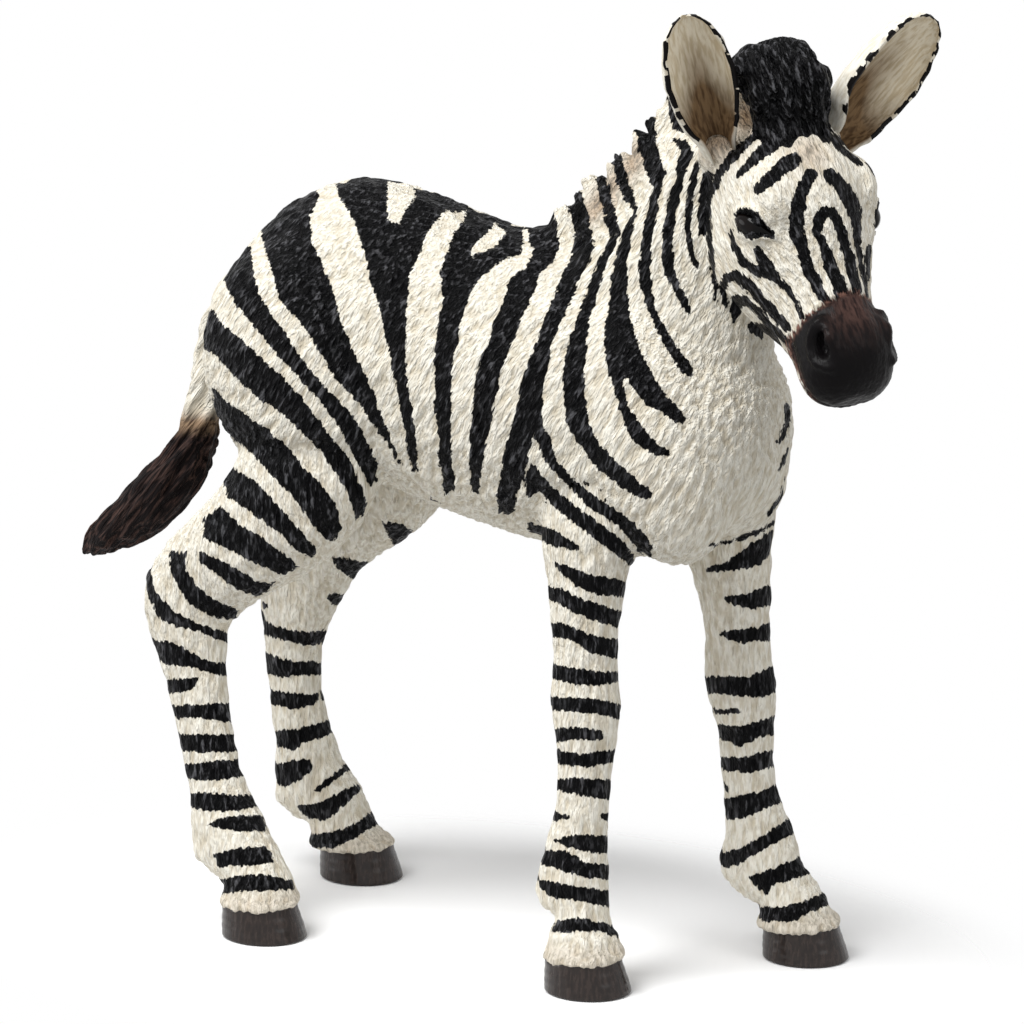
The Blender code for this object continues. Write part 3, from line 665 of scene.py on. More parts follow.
HEAD_STROKES_PX = (
    ((758, 134, 2.5), (742, 147, 3.5), (728, 162, 3.5), (719, 175, 3.0), (713, 192, 2.0)),
    ((774, 144, 6.0), (762, 152, 5.5), (749, 165, 3.5), (737, 177, 1.0)),
    ((794, 160, 6.5), (782, 167, 7.0), (769, 180, 6.0), (758, 189, 4.0)),
    ((811, 174, 6.0), (806, 182, 5.0), (801, 195, 6.0), (797, 212, 7.0), (796, 230, 6.5),
     (803, 252, 5.5), (811, 274, 5.5), (820, 292, 5.0), (828, 302, 3.0)),
    ((817, 233, 4.0), (818, 222, 5.0), (823, 213, 5.5), (831, 212, 4.5), (838, 220, 4.0),
     (842, 235, 4.0), (848, 255, 4.5), (853, 275, 4.5), (857, 290, 4.0)),
    ((820, 236, 2.5), (826, 250, 4.0), (831, 268, 5.5), (838, 283, 6.5), (843, 295, 6.5)),
    ((829, 174, 5.0), (841, 186, 6.5), (851, 201, 7.0), (856, 217, 5.0), (857, 240, 2.5),
     (861, 262, 2.0), (866, 285, 2.0), (868, 296, 1.5)),
    ((832, 138, 4.5), (844, 147, 5.5), (853, 157, 3.0), (860, 165, 1.0)),
    ((870, 249, 4.0), (869, 264, 3.5), (869, 280, 1.0)),
    ((731, 231, 1.0), (734, 246, 2.0), (742, 260, 3.0), (752, 269, 3.5), (762, 272, 5.0),
     (774, 275, 5.0), (779, 282, 3.0), (787, 288, 2.0), (796, 302, 1.8), (802, 317, 1.5)),
    ((757, 250, 3.0), (763, 260, 5.0), (770, 269, 5.0)),
    ((725, 305, 1.5), (723, 288, 3.0), (727, 277, 3.5), (737, 276, 4.5), (750, 287, 5.0),
     (762, 300, 4.0), (774, 314, 4.0), (787, 327, 4.0)),
    ((734, 322, 1.0), (735, 310, 4.5), (738, 301, 6.0), (747, 301, 3.5), (757, 310, 2.5),
     (769, 325, 3.0), (782, 337, 3.0), (792, 346, 2.5)),
    ((752, 327, 4.0), (762, 331, 7.0), (772, 334, 5.0), (779, 345, 1.5)),
    ((708, 176, 4.0), (706, 195, 6.0), (704, 215, 6.0), (703, 232, 3.5)),
    ((708, 222, 2.0), (711, 250, 1.8), (714, 280, 1.5), (716, 300, 1.0)),
)

# Outlines of the mane on the near side, of the forelock and of the snout
MANE_OUTLINE_PX = (
    (552, 210), (566, 246), (577, 248), (595, 249), (620, 232), (637, 208), (655, 189), (664, 178),
    (668, 160), (670, 138), (664, 105), (640, 100), (600, 150),
)
FORELOCK_OUTLINE_PX = (
    (727, 55), (739, 45), (754, 36), (772, 34), (789, 38), (809, 52), (823, 70), (834, 87), (837, 102),
    (834, 115), (829, 128), (824, 139), (814, 135), (804, 130), (792, 142), (779, 144), (767, 142),
    (759, 135), (757, 125), (752, 107), (740, 95), (729, 75),
)
MUZZLE_OUTLINE_PX = (
    (789, 344), (797, 333), (804, 322), (816, 312), (829, 304), (844, 296), (858, 294), (868, 297),
    (880, 299), (900, 299), (930, 340), (900, 410), (830, 420), (808, 392), (797, 368),
)


def segment_reach(across, down, start, end):
    """Distance from each pixel place to a segment, and how far along it the nearest point is."""
    way = (end[0] - start[0], end[1] - start[1])
    length = max(way[0] ** 2 + way[1] ** 2, 1e-9)
    share = np.clip(((across - start[0]) * way[0] + (down - start[1]) * way[1]) / length, 0, 1)
    gap = np.hypot(across - start[0] - share * way[0], down - start[1] - share * way[1])
    return gap, share


def near_box(points, across, down):
    """Which pixel places lie near the box of the points."""
    low = np.min([point[:2] for point in points], axis=0) - SHAPE_MARGIN_PX
    high = np.max([point[:2] for point in points], axis=0) + SHAPE_MARGIN_PX
    inside = (across > low[0]) & (across < high[0]) & (down > low[1]) & (down < high[1])
    return np.flatnonzero(inside)


def outline_depth(points, across, down):
    """Signed distance to a closed outline, negative inside."""
    reach = np.full(len(across), FAR)
    inside = np.zeros(len(across), dtype=bool)
    for start, end in zip(points, points[1:] + points[:1]):
        reach = np.minimum(reach, segment_reach(across, down, start, end)[0])
        if start[1] != end[1]:
            crossing = start[0] + (down - start[1]) * (end[0] - start[0]) / (end[1] - start[1])
            inside ^= ((start[1] > down) != (end[1] > down)) & (across < crossing)
    return np.where(inside, -reach, reach)


def stroke_depth(points, across, down):
    """Signed distance to a brush stroke of varying width, negative inside."""
    depth = np.full(len(across), FAR)
    for start, end in zip(points, points[1:]):
        gap, share = segment_reach(across, down, start, end)
        depth = np.minimum(depth, gap - start[2] - (end[2] - start[2]) * share)
    return depth - STROKE_SPREAD_PX


def ink(across, down, outlines, strokes=(), bare=()):
    """Signed distance to the black paint in millimetres, negative inside it."""
    depth = np.full(len(across), FAR)
    for shapes, measure in ((outlines, outline_depth), (strokes, stroke_depth)):
        for points in shapes:
            some = near_box(points, across, down)
            depth[some] = np.minimum(depth[some], measure(points, across[some], down[some]))
    for points in bare:
        some = near_box(points, across, down)
        depth[some] = np.maximum(depth[some], -outline_depth(points, across[some], down[some]))
    return np.clip(depth / PIXELS_PER_MM, -PAINT_REACH, PAINT_REACH)


def majority(skin, labels):
    """Face labels from vertex labels, with ragged borders evened out."""
    share = np.eye(len(SKIN_NODES))[labels]
    for _ in range(BORDER_ROUNDS):
        share = (share + skin.spread(share)) / 2
    return np.argmax(share[skin.faces].sum(axis=1), axis=1).astype(np.int32)


def refined(skin):
    """The skin with each face in four."""
    obj = linked("skin", skin.mesh("skin"))
    fine = obj.modifiers.new("fine", "SUBSURF")
    fine.levels = 1
    fine.render_levels = 1
    return Skin(evaluated(obj))


def make_skin():
    """The skin in its fine mesh, with the name of the nearest solid on each face."""
    skin = run_together()
    skin.smooth(SKIN_ROUNDS, SKIN_SOFTNESS)
    skin.spots -= skin.normals() * SEAM_SWELL
    skin.labels = majority(skin, nearest_nodes(skin.spots))
    trunk = skin.label_shares(len(SKIN_NODES), 8)[:, SKIN_NODES.index("torso")]
    trunk *= smooth_step(30, 34, skin.spots[:, 2]) * smooth_step(0.2, 1.2, mane_depth(skin.spots))
    skin.smooth(TRUNK_ROUNDS, trunk)
    return refined(skin)


def mane_depth(spots):
    """Signed distance to the mane's border in millimetres, negative in the mane."""
    near = np.stack([spots[:, 0], -np.abs(spots[:, 1]), spots[:, 2]], axis=1)
    return outline_depth(MANE_OUTLINE_PX, *VIEW.pixels(near)) / PIXELS_PER_MM


def forelock_depth(local, spots, facing):
    """Signed distance to the forelock's edge: its ellipsoid, and the lobes that hang on the brow."""
    share = np.linalg.norm((local - FORELOCK_PLACE) / FORELOCK_RADII, axis=1)
    depth = (share - FORELOCK_EDGE) * FORELOCK_REACH
    tuft = np.linalg.norm((local - TUFT_PLACE + TUFT_PAINT_INSET) / TUFT_PAINT_RADII, axis=1)
    depth = np.minimum(depth, (tuft - 1) * TUFT_PAINT_REACH)
    lobes = outline_depth(FORELOCK_OUTLINE_PX, *VIEW.pixels(spots)) / PIXELS_PER_MM
    on_brow = (facing > 0.1) & (local[:, 2] > 1.0) & (local[:, 0] > -2)
    depth = np.where(on_brow, np.minimum(depth, lobes), depth)
    across, down = VIEW.pixels(spots)
    beside = (facing > 0.0) & (across < FORELOCK_SIDE_PX[0]) & (down > FORELOCK_SIDE_PX[1])
    depth = np.where(beside, np.maximum(depth, lobes), depth)
    near = np.flatnonzero(np.abs(depth) < 1)
    depth[near] += FORELOCK_RAGGED * strands(spots[near], HEAD.down, 0.45, 2.5, 9.0)
    return depth


def eye_axes():
    """The left eye's long axis towards its front corner, the way up across it and the way out."""
    forward = np.array((0, -math.sin(EYE_FORWARD), math.cos(EYE_FORWARD)))
    out = np.array((0, math.cos(EYE_FORWARD), math.sin(EYE_FORWARD)))
    down = np.array((1, 0, 0))
    along = math.cos(EYE_TILT) * down + math.sin(EYE_TILT) * forward
    above = math.cos(EYE_TILT) * forward - math.sin(EYE_TILT) * down
    return np.array((along, above, out))


def almond(along):
    """The half height of the eye's outline, which runs out to a point at the front corner."""
    return EYE_HALF_HEIGHT * (1 - EYE_POINTING * smooth_step(0.1, 1.0, along / EYE_HALF_LENGTH))


def eye_reach(local):
    """How far out of the nearer eye's middle, as a share of its almond, and how far above it."""
    left = local[:, 1:2] > 0
    rel = local * np.where(left, (1, 1, 1), (1, -1, 1)) - np.where(left, EYE_PLACES[1], EYE_PLACES[-1])
    along, above, out = (rel @ eye_axes().T).T
    reach = np.hypot(along / EYE_HALF_LENGTH, above / almond(along))
    return reach + 0.4 * np.maximum(np.abs(out) - 1.5, 0), above


def sculpt_head(skin, share):
    """Lids round the eyes, nostrils, lips and the line of the mouth."""
    some = np.flatnonzero(share > 0.3)
    local = HEAD.local(skin.spots[some])
    normals = skin.normals()[some]
    reach, above = eye_reach(local)
    at_side = smooth_step(2.0, 3.0, np.abs(local[:, 1]))
    move = -EYE_HOLLOW * smooth_step(1.12, 0.85, reach) * at_side
    lid = np.where(above > 0, UPPER_LID, LOWER_LID)
    move += lid * bump(reach, 1.28, 0.20) * at_side
    ahead = local[:, 0] - NOSTRIL_PLACE[0]
    over = local[:, 2] - NOSTRIL_PLACE[2] + 0.25 * ahead - 0.18 * ahead ** 2
    comma = np.hypot(ahead / NOSTRIL_RADII[0], over / NOSTRIL_RADII[1])
    wing = NOSTRIL_RIM * bump(comma, 1.75, 0.45) - NOSTRIL_DEPTH * smooth_step(1.1, 0.4, comma)
    move += wing * smooth_step(1.8, 2.4, np.abs(local[:, 1]))
    for middle, radii, core, height in FACE_MASSES:
        away = np.linalg.norm((local - middle) / radii, axis=1)
        move += height * smooth_step(1.3, core, away)
    jaw = bump(local[:, 0], 6.5, 4.5) * smooth_step(-3.5, -7.0, local[:, 2])
    skin.spots[some] -= np.outer(JAW_NARROWING * jaw * share[some], HEAD.out)
    mouth = bump(local[:, 2] - MOUTH_HEIGHT + 0.10 * (local[:, 0] - 14), 0, 0.20)
    move -= MOUTH_DEPTH * mouth * smooth_step(12.8, 14.5, local[:, 0])
    skin.spots[some] += normals * (move * share[some])[:, None]
    tuft = smooth_step(1.2, 0.2, np.linalg.norm((local - TUFT_PLACE) / TUFT_RADII, axis=1))
    skin.spots[some] -= np.outer(TUFT_PUSH * tuft * share[some], HEAD.left)


def raise_mane(skin, share):
    """Lifts the mane where it leaves the withers, so that its hair stands up along the crest."""
    across = VIEW.pixels(np.stack([skin.spots[:, 0], 0 * skin.spots[:, 1], skin.spots[:, 2]], axis=1))[0]
    crest = smooth_step(0.0, -1.0, mane_depth(skin.spots)) * bump(skin.spots[:, 1], 0, 1.6) * share
    lift = MANE_LIFT * bump(across, MANE_LIFT_PX, MANE_LIFT_REACH_PX) * crest
    some = np.flatnonzero(crest > 0.01)
    lift[some] += MANE_LOCKS * crest[some] * strands(skin.spots[some], MANE_WAY, 0.60, 4.0, 3.0)
    skin.spots += np.outer(lift, unit(np.array(MANE_WAY)))


def tuck_feet(skin, foot, share):
    """Draws the skin in under the hoof's wall, and lets the hair of the coronet hang over it."""
    rel = skin.spots - foot
    wall = HOOF_HEIGHT * (1 + HOOF_SLOPE * rel[:, 0] / (HOOF_LENGTH / 2))
    height = skin.spots[:, 2] / wall
    inside = smooth_step(0.90, 0.72, height) * share
    skin.spots[:, :2] -= rel[:, :2] * (FOOT_TUCK * inside)[:, None]
    skin.spots[:, 2] += FOOT_RAISE * smooth_step(0.6, 0.0, height) * inside
    fringe = bump(height, 1.00, 0.14) * share
    out = rel[:, :2] / np.maximum(np.linalg.norm(rel[:, :2], axis=1), 0.1)[:, None]
    skin.spots[:, :2] += out * (CORONET_FRINGE * fringe)[:, None]


# Fur


def strands(spots, way, across, along, seed=0.0):
    """Noise drawn out along the way that the hair lies, from about -1 to 1."""
    way = unit(np.array(way, dtype=float))
    drawn = spots / across + np.outer((spots @ way) * (1 / along - 1 / across), way) + seed
    return NOISE_GAIN * np.array([noise.noise(spot) for spot in drawn.tolist()])


def tuft_strands(local):
    """The forelock's locks fan over it, so its strands keep to their own width of it."""
    rel = (local - FORELOCK_PLACE) / FORELOCK_RADII
    turn = np.arctan2(rel[:, 2], rel[:, 0])
    drawn = np.stack([local[:, 1] * 3.6 + 0.9 * turn, turn * 1.5, local[:, 1] * 0.2], axis=1)
    return NOISE_GAIN * np.array([noise.noise(spot) for spot in drawn.tolist()])


def fur_relief(skin, normals, names, mane, forelock):
    """Ridges and grooves of the hair, from -1 to 1, and how deep they are in millimetres."""
    spots = skin.spots
    local = HEAD.local(spots)
    flank = names["torso"]
    neck = flank * smooth_step(9, 16, spots[:, 0]) * smooth_step(44, 52, spots[:, 2])
    back = (flank - neck) * smooth_step(0.45, 0.85, normals[:, 2])
    leg = sum(names[name] for name in LEGS)
    muzzle = names["head"] * smooth_step(12.5, 14.0, local[:, 0])
    coats = (
        (flank - neck - back, FLANK_RELIEF_WAY, BODY_HAIR),
        (neck, NECK_RELIEF_WAY, BODY_HAIR),
        (back, BACK_RELIEF_WAY, BODY_HAIR),
        (leg, LEG_HAIR_WAY, LEG_HAIR),
        (names["head"] - muzzle, HEAD.down, HEAD_HAIR),
        (muzzle, HEAD.down, SNOUT_HAIR),
        (names["tail"], HAIR_WAYS["tail"], TAIL_HAIR),
    )
    relief = np.zeros(len(spots))
    depth = np.zeros(len(spots))
    for share, way, (across, along, deep) in coats:
        some = np.flatnonzero(share > 0.01)
        fine = strands(spots[some], way, across, along)
        broad = strands(spots[some], way, across * 2.6, along * 1.6, 7.3)
        relief[some] += share[some] * (0.90 * fine + 0.20 * broad)
        depth[some] += share[some] * deep
    some = np.flatnonzero(mane > 0.01)
    across, along, deep = MANE_HAIR
    lock = strands(spots[some], MANE_WAY, across, along)
    relief[some] += (lock - relief[some]) * mane[some]
    depth[some] += (deep - depth[some]) * mane[some]
    some = np.flatnonzero(forelock > 0.01)
    relief[some] += (tuft_strands(local[some]) - relief[some]) * forelock[some]
    depth[some] += (FORELOCK_HAIR_DEPTH - depth[some]) * forelock[some]
    return np.clip(relief, -1, 1), depth


# Painting


LEG_PAINT = {
    "fore_leg_right": (BODY_OUTLINES_PX, ()),
    "hind_leg_right": (BODY_OUTLINES_PX, ()),
    "fore_leg_left": (FAR_FORE_OUTLINES_PX, FAR_FORE_STROKES_PX),
    "hind_leg_left": (FAR_HIND_OUTLINES_PX, ()),
}


def torso_field(spots, normals, facing):
    """The near side's stripes, mirrored on what the photograph doesn't see of the far side."""
    across, down = VIEW.pixels(spots)
    seen = BODY_OUTLINES_PX + FAR_HIND_OUTLINES_PX + FAR_FORE_OUTLINES_PX
    direct = ink(across, down, seen, CHEST_STROKES_PX + FAR_FORE_STROKES_PX, BARE_OUTLINES_PX)
    mirrored = ink(*VIEW.pixels(spots * (1, -1, 1)), BODY_OUTLINES_PX, (), BARE_OUTLINES_PX)
    hidden = smooth_step(0.20, 0.05, facing) * smooth_step(0.0, 0.8, spots[:, 1])
    field = direct + (mirrored - direct) * hidden
    under = smooth_step(0.50, 0.90, -normals[:, 2]) * smooth_step(0.26, 0.06, facing)
    return field + PAINT_REACH * under


def leg_middles(whole, heights):
    """The middle of a leg at each height."""
    steps = np.arange(1.0, whole[:, 2].max() - 1, 1.0)
    middles = np.array([whole[np.abs(whole[:, 2] - step) < 1, :2].mean(axis=0) for step in steps])
    return np.stack([np.interp(heights, steps, middles[:, k]) for k in (0, 1)], axis=1)


def leg_field(leg, spots, whole, twin):
    """The seen side's stripes, folded round to the hidden side; left thighs follow the right ones."""
    toward = unit(VIEW.back * (1, 1, 0))
    middle = leg_middles(whole, spots[:, 2])
    behind = np.minimum((spots[:, :2] - middle) @ toward[:2], 0)
    folded = spots - 2 * behind[:, None] * toward
    outlines, strokes = LEG_PAINT[leg]
    field = ink(*VIEW.pixels(folded), outlines, strokes)
    if leg.endswith("left"):
        like_twin = spots.copy()
        like_twin[:, :2] = leg_middles(twin, spots[:, 2]) + (spots[:, :2] - middle) * (1, -1)
        thigh = smooth_step(*TWIN_PAINT_Z, spots[:, 2]) * smooth_step(-0.1, -0.8, behind)
        field += (ink(*VIEW.pixels(like_twin), BODY_OUTLINES_PX) - field) * thigh
    return field


def head_field(spots, normals, facing):
    """The right side's stripes, mirrored on what the photograph doesn't see of the left side."""
    direct = ink(*VIEW.pixels(spots), BODY_OUTLINES_PX, HEAD_STROKES_PX)
    twins = HEAD.mirrored(spots)
    folded = ink(*VIEW.pixels(twins), (), HEAD_STROKES_PX)
    twin_normals = normals - 2 * np.outer(normals @ HEAD.left, HEAD.left)
    folded += (PAINT_REACH - folded) * smooth_step(0.30, 0.05, VIEW.facing(twins, twin_normals))
    left = smooth_step(0.0, 0.6, HEAD.local(spots)[:, 1]) * smooth_step(0.30, 0.10, facing)
    field = direct + (folded - direct) * left
    reach = eye_reach(HEAD.local(spots))[0]
    return np.minimum(field, (reach - 1.22) * EYE_HALF_HEIGHT)


def leg_membership(spots, names):
    """Each leg's share of every vertex, carried up into the body above it."""
    members = {}
    for leg in LEGS:
        ahead = 1 if leg.startswith("fore") else -1
        left = 1 if leg.endswith("left") else -1
        above = (spots[:, 0] * ahead > 0) & (spots[:, 1] * left > 0)
        members[leg] = np.maximum(names[leg], names["torso"] * above)
    return members


def ink_field(spots, normals, names, facing):
    """Signed distance to the stripes all over the skin, negative inside them."""
    torso = torso_field(spots, normals, facing)
    field = torso.copy()
    for leg, share in leg_membership(spots, names).items():
        share = share * smooth_step(TORSO_PAINT_Z, LEG_PAINT_Z, spots[:, 2])
        some = np.flatnonzero(share > 0)
        twin = leg.replace("left", "right")
        own = leg_field(leg, spots[some], spots[names[leg] > 0.5], spots[names[twin] > 0.5])
        field[some] += (own - torso[some]) * share[some]
    some = np.flatnonzero(names["head"] > 0.01)
    own = head_field(spots[some], normals[some], facing[some])
    field[some] += (own - field[some]) * names["head"][some]
    local = HEAD.local(spots)
    throat = (local[:, 0] > -1) & (local[:, 0] < 13) & (local[:, 1] < 0) & (local[:, 2] > -11)
    jaw = np.flatnonzero((names["torso"] > 0.01) & throat & (facing > -0.1))
    field[jaw] = np.minimum(field[jaw], ink(*VIEW.pixels(spots[jaw]), (), HEAD_STROKES_PX))
    return field


def brown_wash(spots, names, mane, facing):
    """How brown the skin is: the mane's foot, the head, the tail and the hair over the hooves."""
    local = HEAD.local(spots)
    across, down = VIEW.pixels(spots)
    brown = MANE_BROWN * mane * smooth_step(-0.6, -2.4, mane_depth(spots))
    for place, reach, strength in BROWN_WASHES:
        away = np.linalg.norm(local - place, axis=1)
        brown += strength * bump(away, 0, reach) * names["head"]
    brown += names["tail"] * smooth_step(*TAIL_BROWN_PX, down)
    beside_ear = np.hypot(
        (across - EAR_WASH_PX[0]) / EAR_WASH_RADII_PX[0],
        (down - EAR_WASH_PX[1]) / EAR_WASH_RADII_PX[1],
    )
    brown += EAR_BROWN * bump(beside_ear, 0, 1) * (facing > 0)
    feet = sum(names[leg] for leg in LEGS) * smooth_step(CORONET_Z + 1.2, CORONET_Z, spots[:, 2])
    brown += FOOT_BROWN * feet
    return np.clip(brown, 0, 1)


def paint_masks(spots, normals, names):
    """Every mask that the paints are laid on with, for every vertex of the skin."""
    facing = VIEW.facing(spots, normals)
    local = HEAD.local(spots)
    folded = VIEW.pixels(np.where(local[:, 1:2] > 0, HEAD.mirrored(spots), spots))
    dark = smooth_step(0.85, -0.45, outline_depth(MUZZLE_OUTLINE_PX, *folded) / PIXELS_PER_MM)
    blush = bump(local[:, 0], BLUSH_PLACE, BLUSH_REACH) * smooth_step(0.6, 2.4, local[:, 2])
    mane = smooth_step(0.25, -0.35, mane_depth(spots)) * names["torso"]
    forelock = smooth_step(0.3, -0.3, forelock_depth(local, spots, facing)) * names["head"]
    field = ink_field(spots, normals, names, facing)
    field -= 2 * PAINT_REACH * forelock
    field += 2 * PAINT_REACH * names["tail"]
    return {
        "ink": np.clip(field, -PAINT_REACH, PAINT_REACH),
        "brown": brown_wash(spots, names, mane, facing),
        "dark": dark * names["head"],
        "blush": blush * names["head"],
        "tip": names["tail"] * smooth_step(*TAIL_DARK_PX, VIEW.pixels(spots)[1]),
        "mane": mane,
        "forelock": forelock,
    }


# Paints


def tone(red, green, blue):
    """A screen colour as the renderer's linear one."""
    shares = [value / 255 for value in (red, green, blue)]
    return tuple(s / 12.92 if s <= 0.04045 else ((s + 0.055) / 1.055) ** 2.4 for s in shares) + (1.0,)


CREAM = tone(236, 232, 220)
# Darker cream for the wash and the painted shade in the grooves of the hair
CREAM_GROOVE_WASH_AND_SHADE = tone(190, 177, 151)
BLACK = tone(4, 4, 5)
# Grey for the painted highlights on the ridges of the black hair
BLACK_HIGHLIGHT = tone(84, 84, 87)
TAN = tone(166, 140, 112)
TAN_GROOVE = tone(70, 50, 38)
SNOUT_BLACK = tone(12, 10, 11)
SNOUT_EDGE = tone(44, 30, 28)
SNOUT_EDGE_SPECKLE = tone(134, 98, 86)
SNOUT_TOP = tone(108, 80, 72)
SNOUT_TOP_GROOVE = tone(50, 35, 33)
TAIL_TIP = tone(18, 13, 13)
# Lighter brown for the painted highlights on the strands of the tail's dark tip
TAIL_TIP_HIGHLIGHT = tone(72, 55, 50)
EAR_RIM_BLACK = tone(14, 12, 12)
EAR_HAIR_PALE = tone(236, 226, 204)
EAR_HAIR_PALE_GROOVE = tone(212, 196, 166)
# Darker lining deep in the cup: brown hair at the root, and painted shade in the hollow
EAR_HAIR_BROWN_AND_SHADE = tone(128, 104, 76)
EAR_HAIR_BROWN_AND_SHADE_GROOVE = tone(88, 68, 48)
HORN = tone(31, 25, 23)
HORN_STREAK = tone(48, 39, 35)
HORN_RING = tone(28, 24, 23)
EYE_BLACK = tone(5, 4, 4)
EYE_BROWN = tone(18, 12, 10)

# Shine, from 0 to 1, and how deep the paints' own relief is in millimetres
COAT_SHINE = 0.065
HORN_SHINE = 0.30
EYE_SHINE = 0.05
COAT_RELIEF = 0.29
EAR_RELIEF = 0.07
HORN_RELIEF = 0.02

# Roughness
CREAM_DULL = 0.60
BLACK_DULL = 0.36
SNOUT_POLISH = 0.24
EAR_DULL = 0.62
EAR_RIM_DULL = 0.42
HORN_DULL = (0.20, 0.30)
EYE_DULL = 0.15
FLOOR_DULL = 0.9

# Size of a hair, a speckle and a crease in the paint, and which noise counts as a groove
HAIR_GRAIN = 0.26
EAR_HAIR_GRAIN = 0.22
SPECKLE_GRAIN = 0.35
CREASE_GRAIN = 0.17
HORN_STREAK_GRAIN = 0.22
HORN_RING_GRAIN = 0.30
EYE_GRAIN = 1.2
GROOVE = (0.62, 0.34)


class Paint:
    """A node material that is built up step by step."""

    def __init__(self, name):
        self.material = bpy.data.materials.new(name)
        self.material.use_nodes = True
        self.tree = self.material.node_tree
        self.shader = self.tree.nodes["Principled BSDF"]
        self.place = self.vector("SCALE", self.node("ShaderNodeTexCoord").outputs["Object"], scale=1 / MM)

    def node(self, kind, **settings):
        made = self.tree.nodes.new(kind)
        for key, value in settings.items():
            setattr(made, key, value)
        return made

    def feed(self, socket, value):
        if isinstance(value, bpy.types.NodeSocket):
            self.tree.links.new(value, socket)
        else:
            socket.default_value = value

    def vector(self, operation, first, second=None, scale=None):
        made = self.node("ShaderNodeVectorMath", operation=operation)
        self.feed(made.inputs[0], first)
        if second is not None:
            self.feed(made.inputs[1], second)
        if scale is not None:
            self.feed(made.inputs["Scale"], scale)
        return made.outputs["Value" if operation in ("DOT_PRODUCT", "LENGTH") else "Vector"]

    def maths(self, operation, first, second):
        made = self.node("ShaderNodeMath", operation=operation)
        self.feed(made.inputs[0], first)
        self.feed(made.inputs[1], second)
        return made.outputs["Value"]

    def mask(self, name):
        return self.node("ShaderNodeAttribute", attribute_name=name).outputs["Fac"]

    def noise(self, grain, detail, place=None):
        """Noise whose features are about a grain of so many millimetres."""
        made = self.node("ShaderNodeTexNoise")
        self.feed(made.inputs["Vector"], self.place if place is None else place)
        made.inputs["Scale"].default_value = 1 / grain
        made.inputs["Detail"].default_value = detail
        return made.outputs["Fac"]

    def drawn(self, way, along):
        """Places drawn out along the hair's way, so that noise on them looks like strands."""
        way = Vector(way).normalized()
        flow = self.vector("DOT_PRODUCT", self.place, way)
        flow = self.maths("MULTIPLY", flow, 1 / along - 1)
        return self.vector("ADD", self.place, self.vector("SCALE", tuple(way), scale=flow))

    def step(self, value, low, high, least=0.0, most=1.0):
        made = self.node("ShaderNodeMapRange", interpolation_type="SMOOTHSTEP")
        self.feed(made.inputs["Value"], value)
        made.inputs["From Min"].default_value = low
        made.inputs["From Max"].default_value = high
        made.inputs["To Min"].default_value = least
        made.inputs["To Max"].default_value = most
        return made.outputs["Result"]

    def mix(self, share, first, second):
        made = self.node("ShaderNodeMix", data_type="RGBA")
        self.feed(made.inputs[0], share)
        self.feed(made.inputs[6], first)
        self.feed(made.inputs[7], second)
        return made.outputs[2]

    def finish(self, colour, roughness, shine, height=None, depth=0.0):
        """The material, with a relief of so many millimetres where a height is given."""
        self.feed(self.shader.inputs["Base Color"], colour)
        self.feed(self.shader.inputs["Roughness"], roughness)
        self.feed(self.shader.inputs["Specular IOR Level"], shine)
        if height is not None:
            relief = self.node("ShaderNodeBump")
            relief.inputs["Distance"].default_value = depth * MM
            self.feed(relief.inputs["Height"], height)
            self.feed(self.shader.inputs["Normal"], relief.outputs["Normal"])
        return self.material


def cream_washed_and_shaded(paint, groove):
    """Cream with a darker wash and painted shade in the grooves between the hairs."""
    return paint.mix(paint.maths("MULTIPLY", groove, 0.5), CREAM, CREAM_GROOVE_WASH_AND_SHADE)


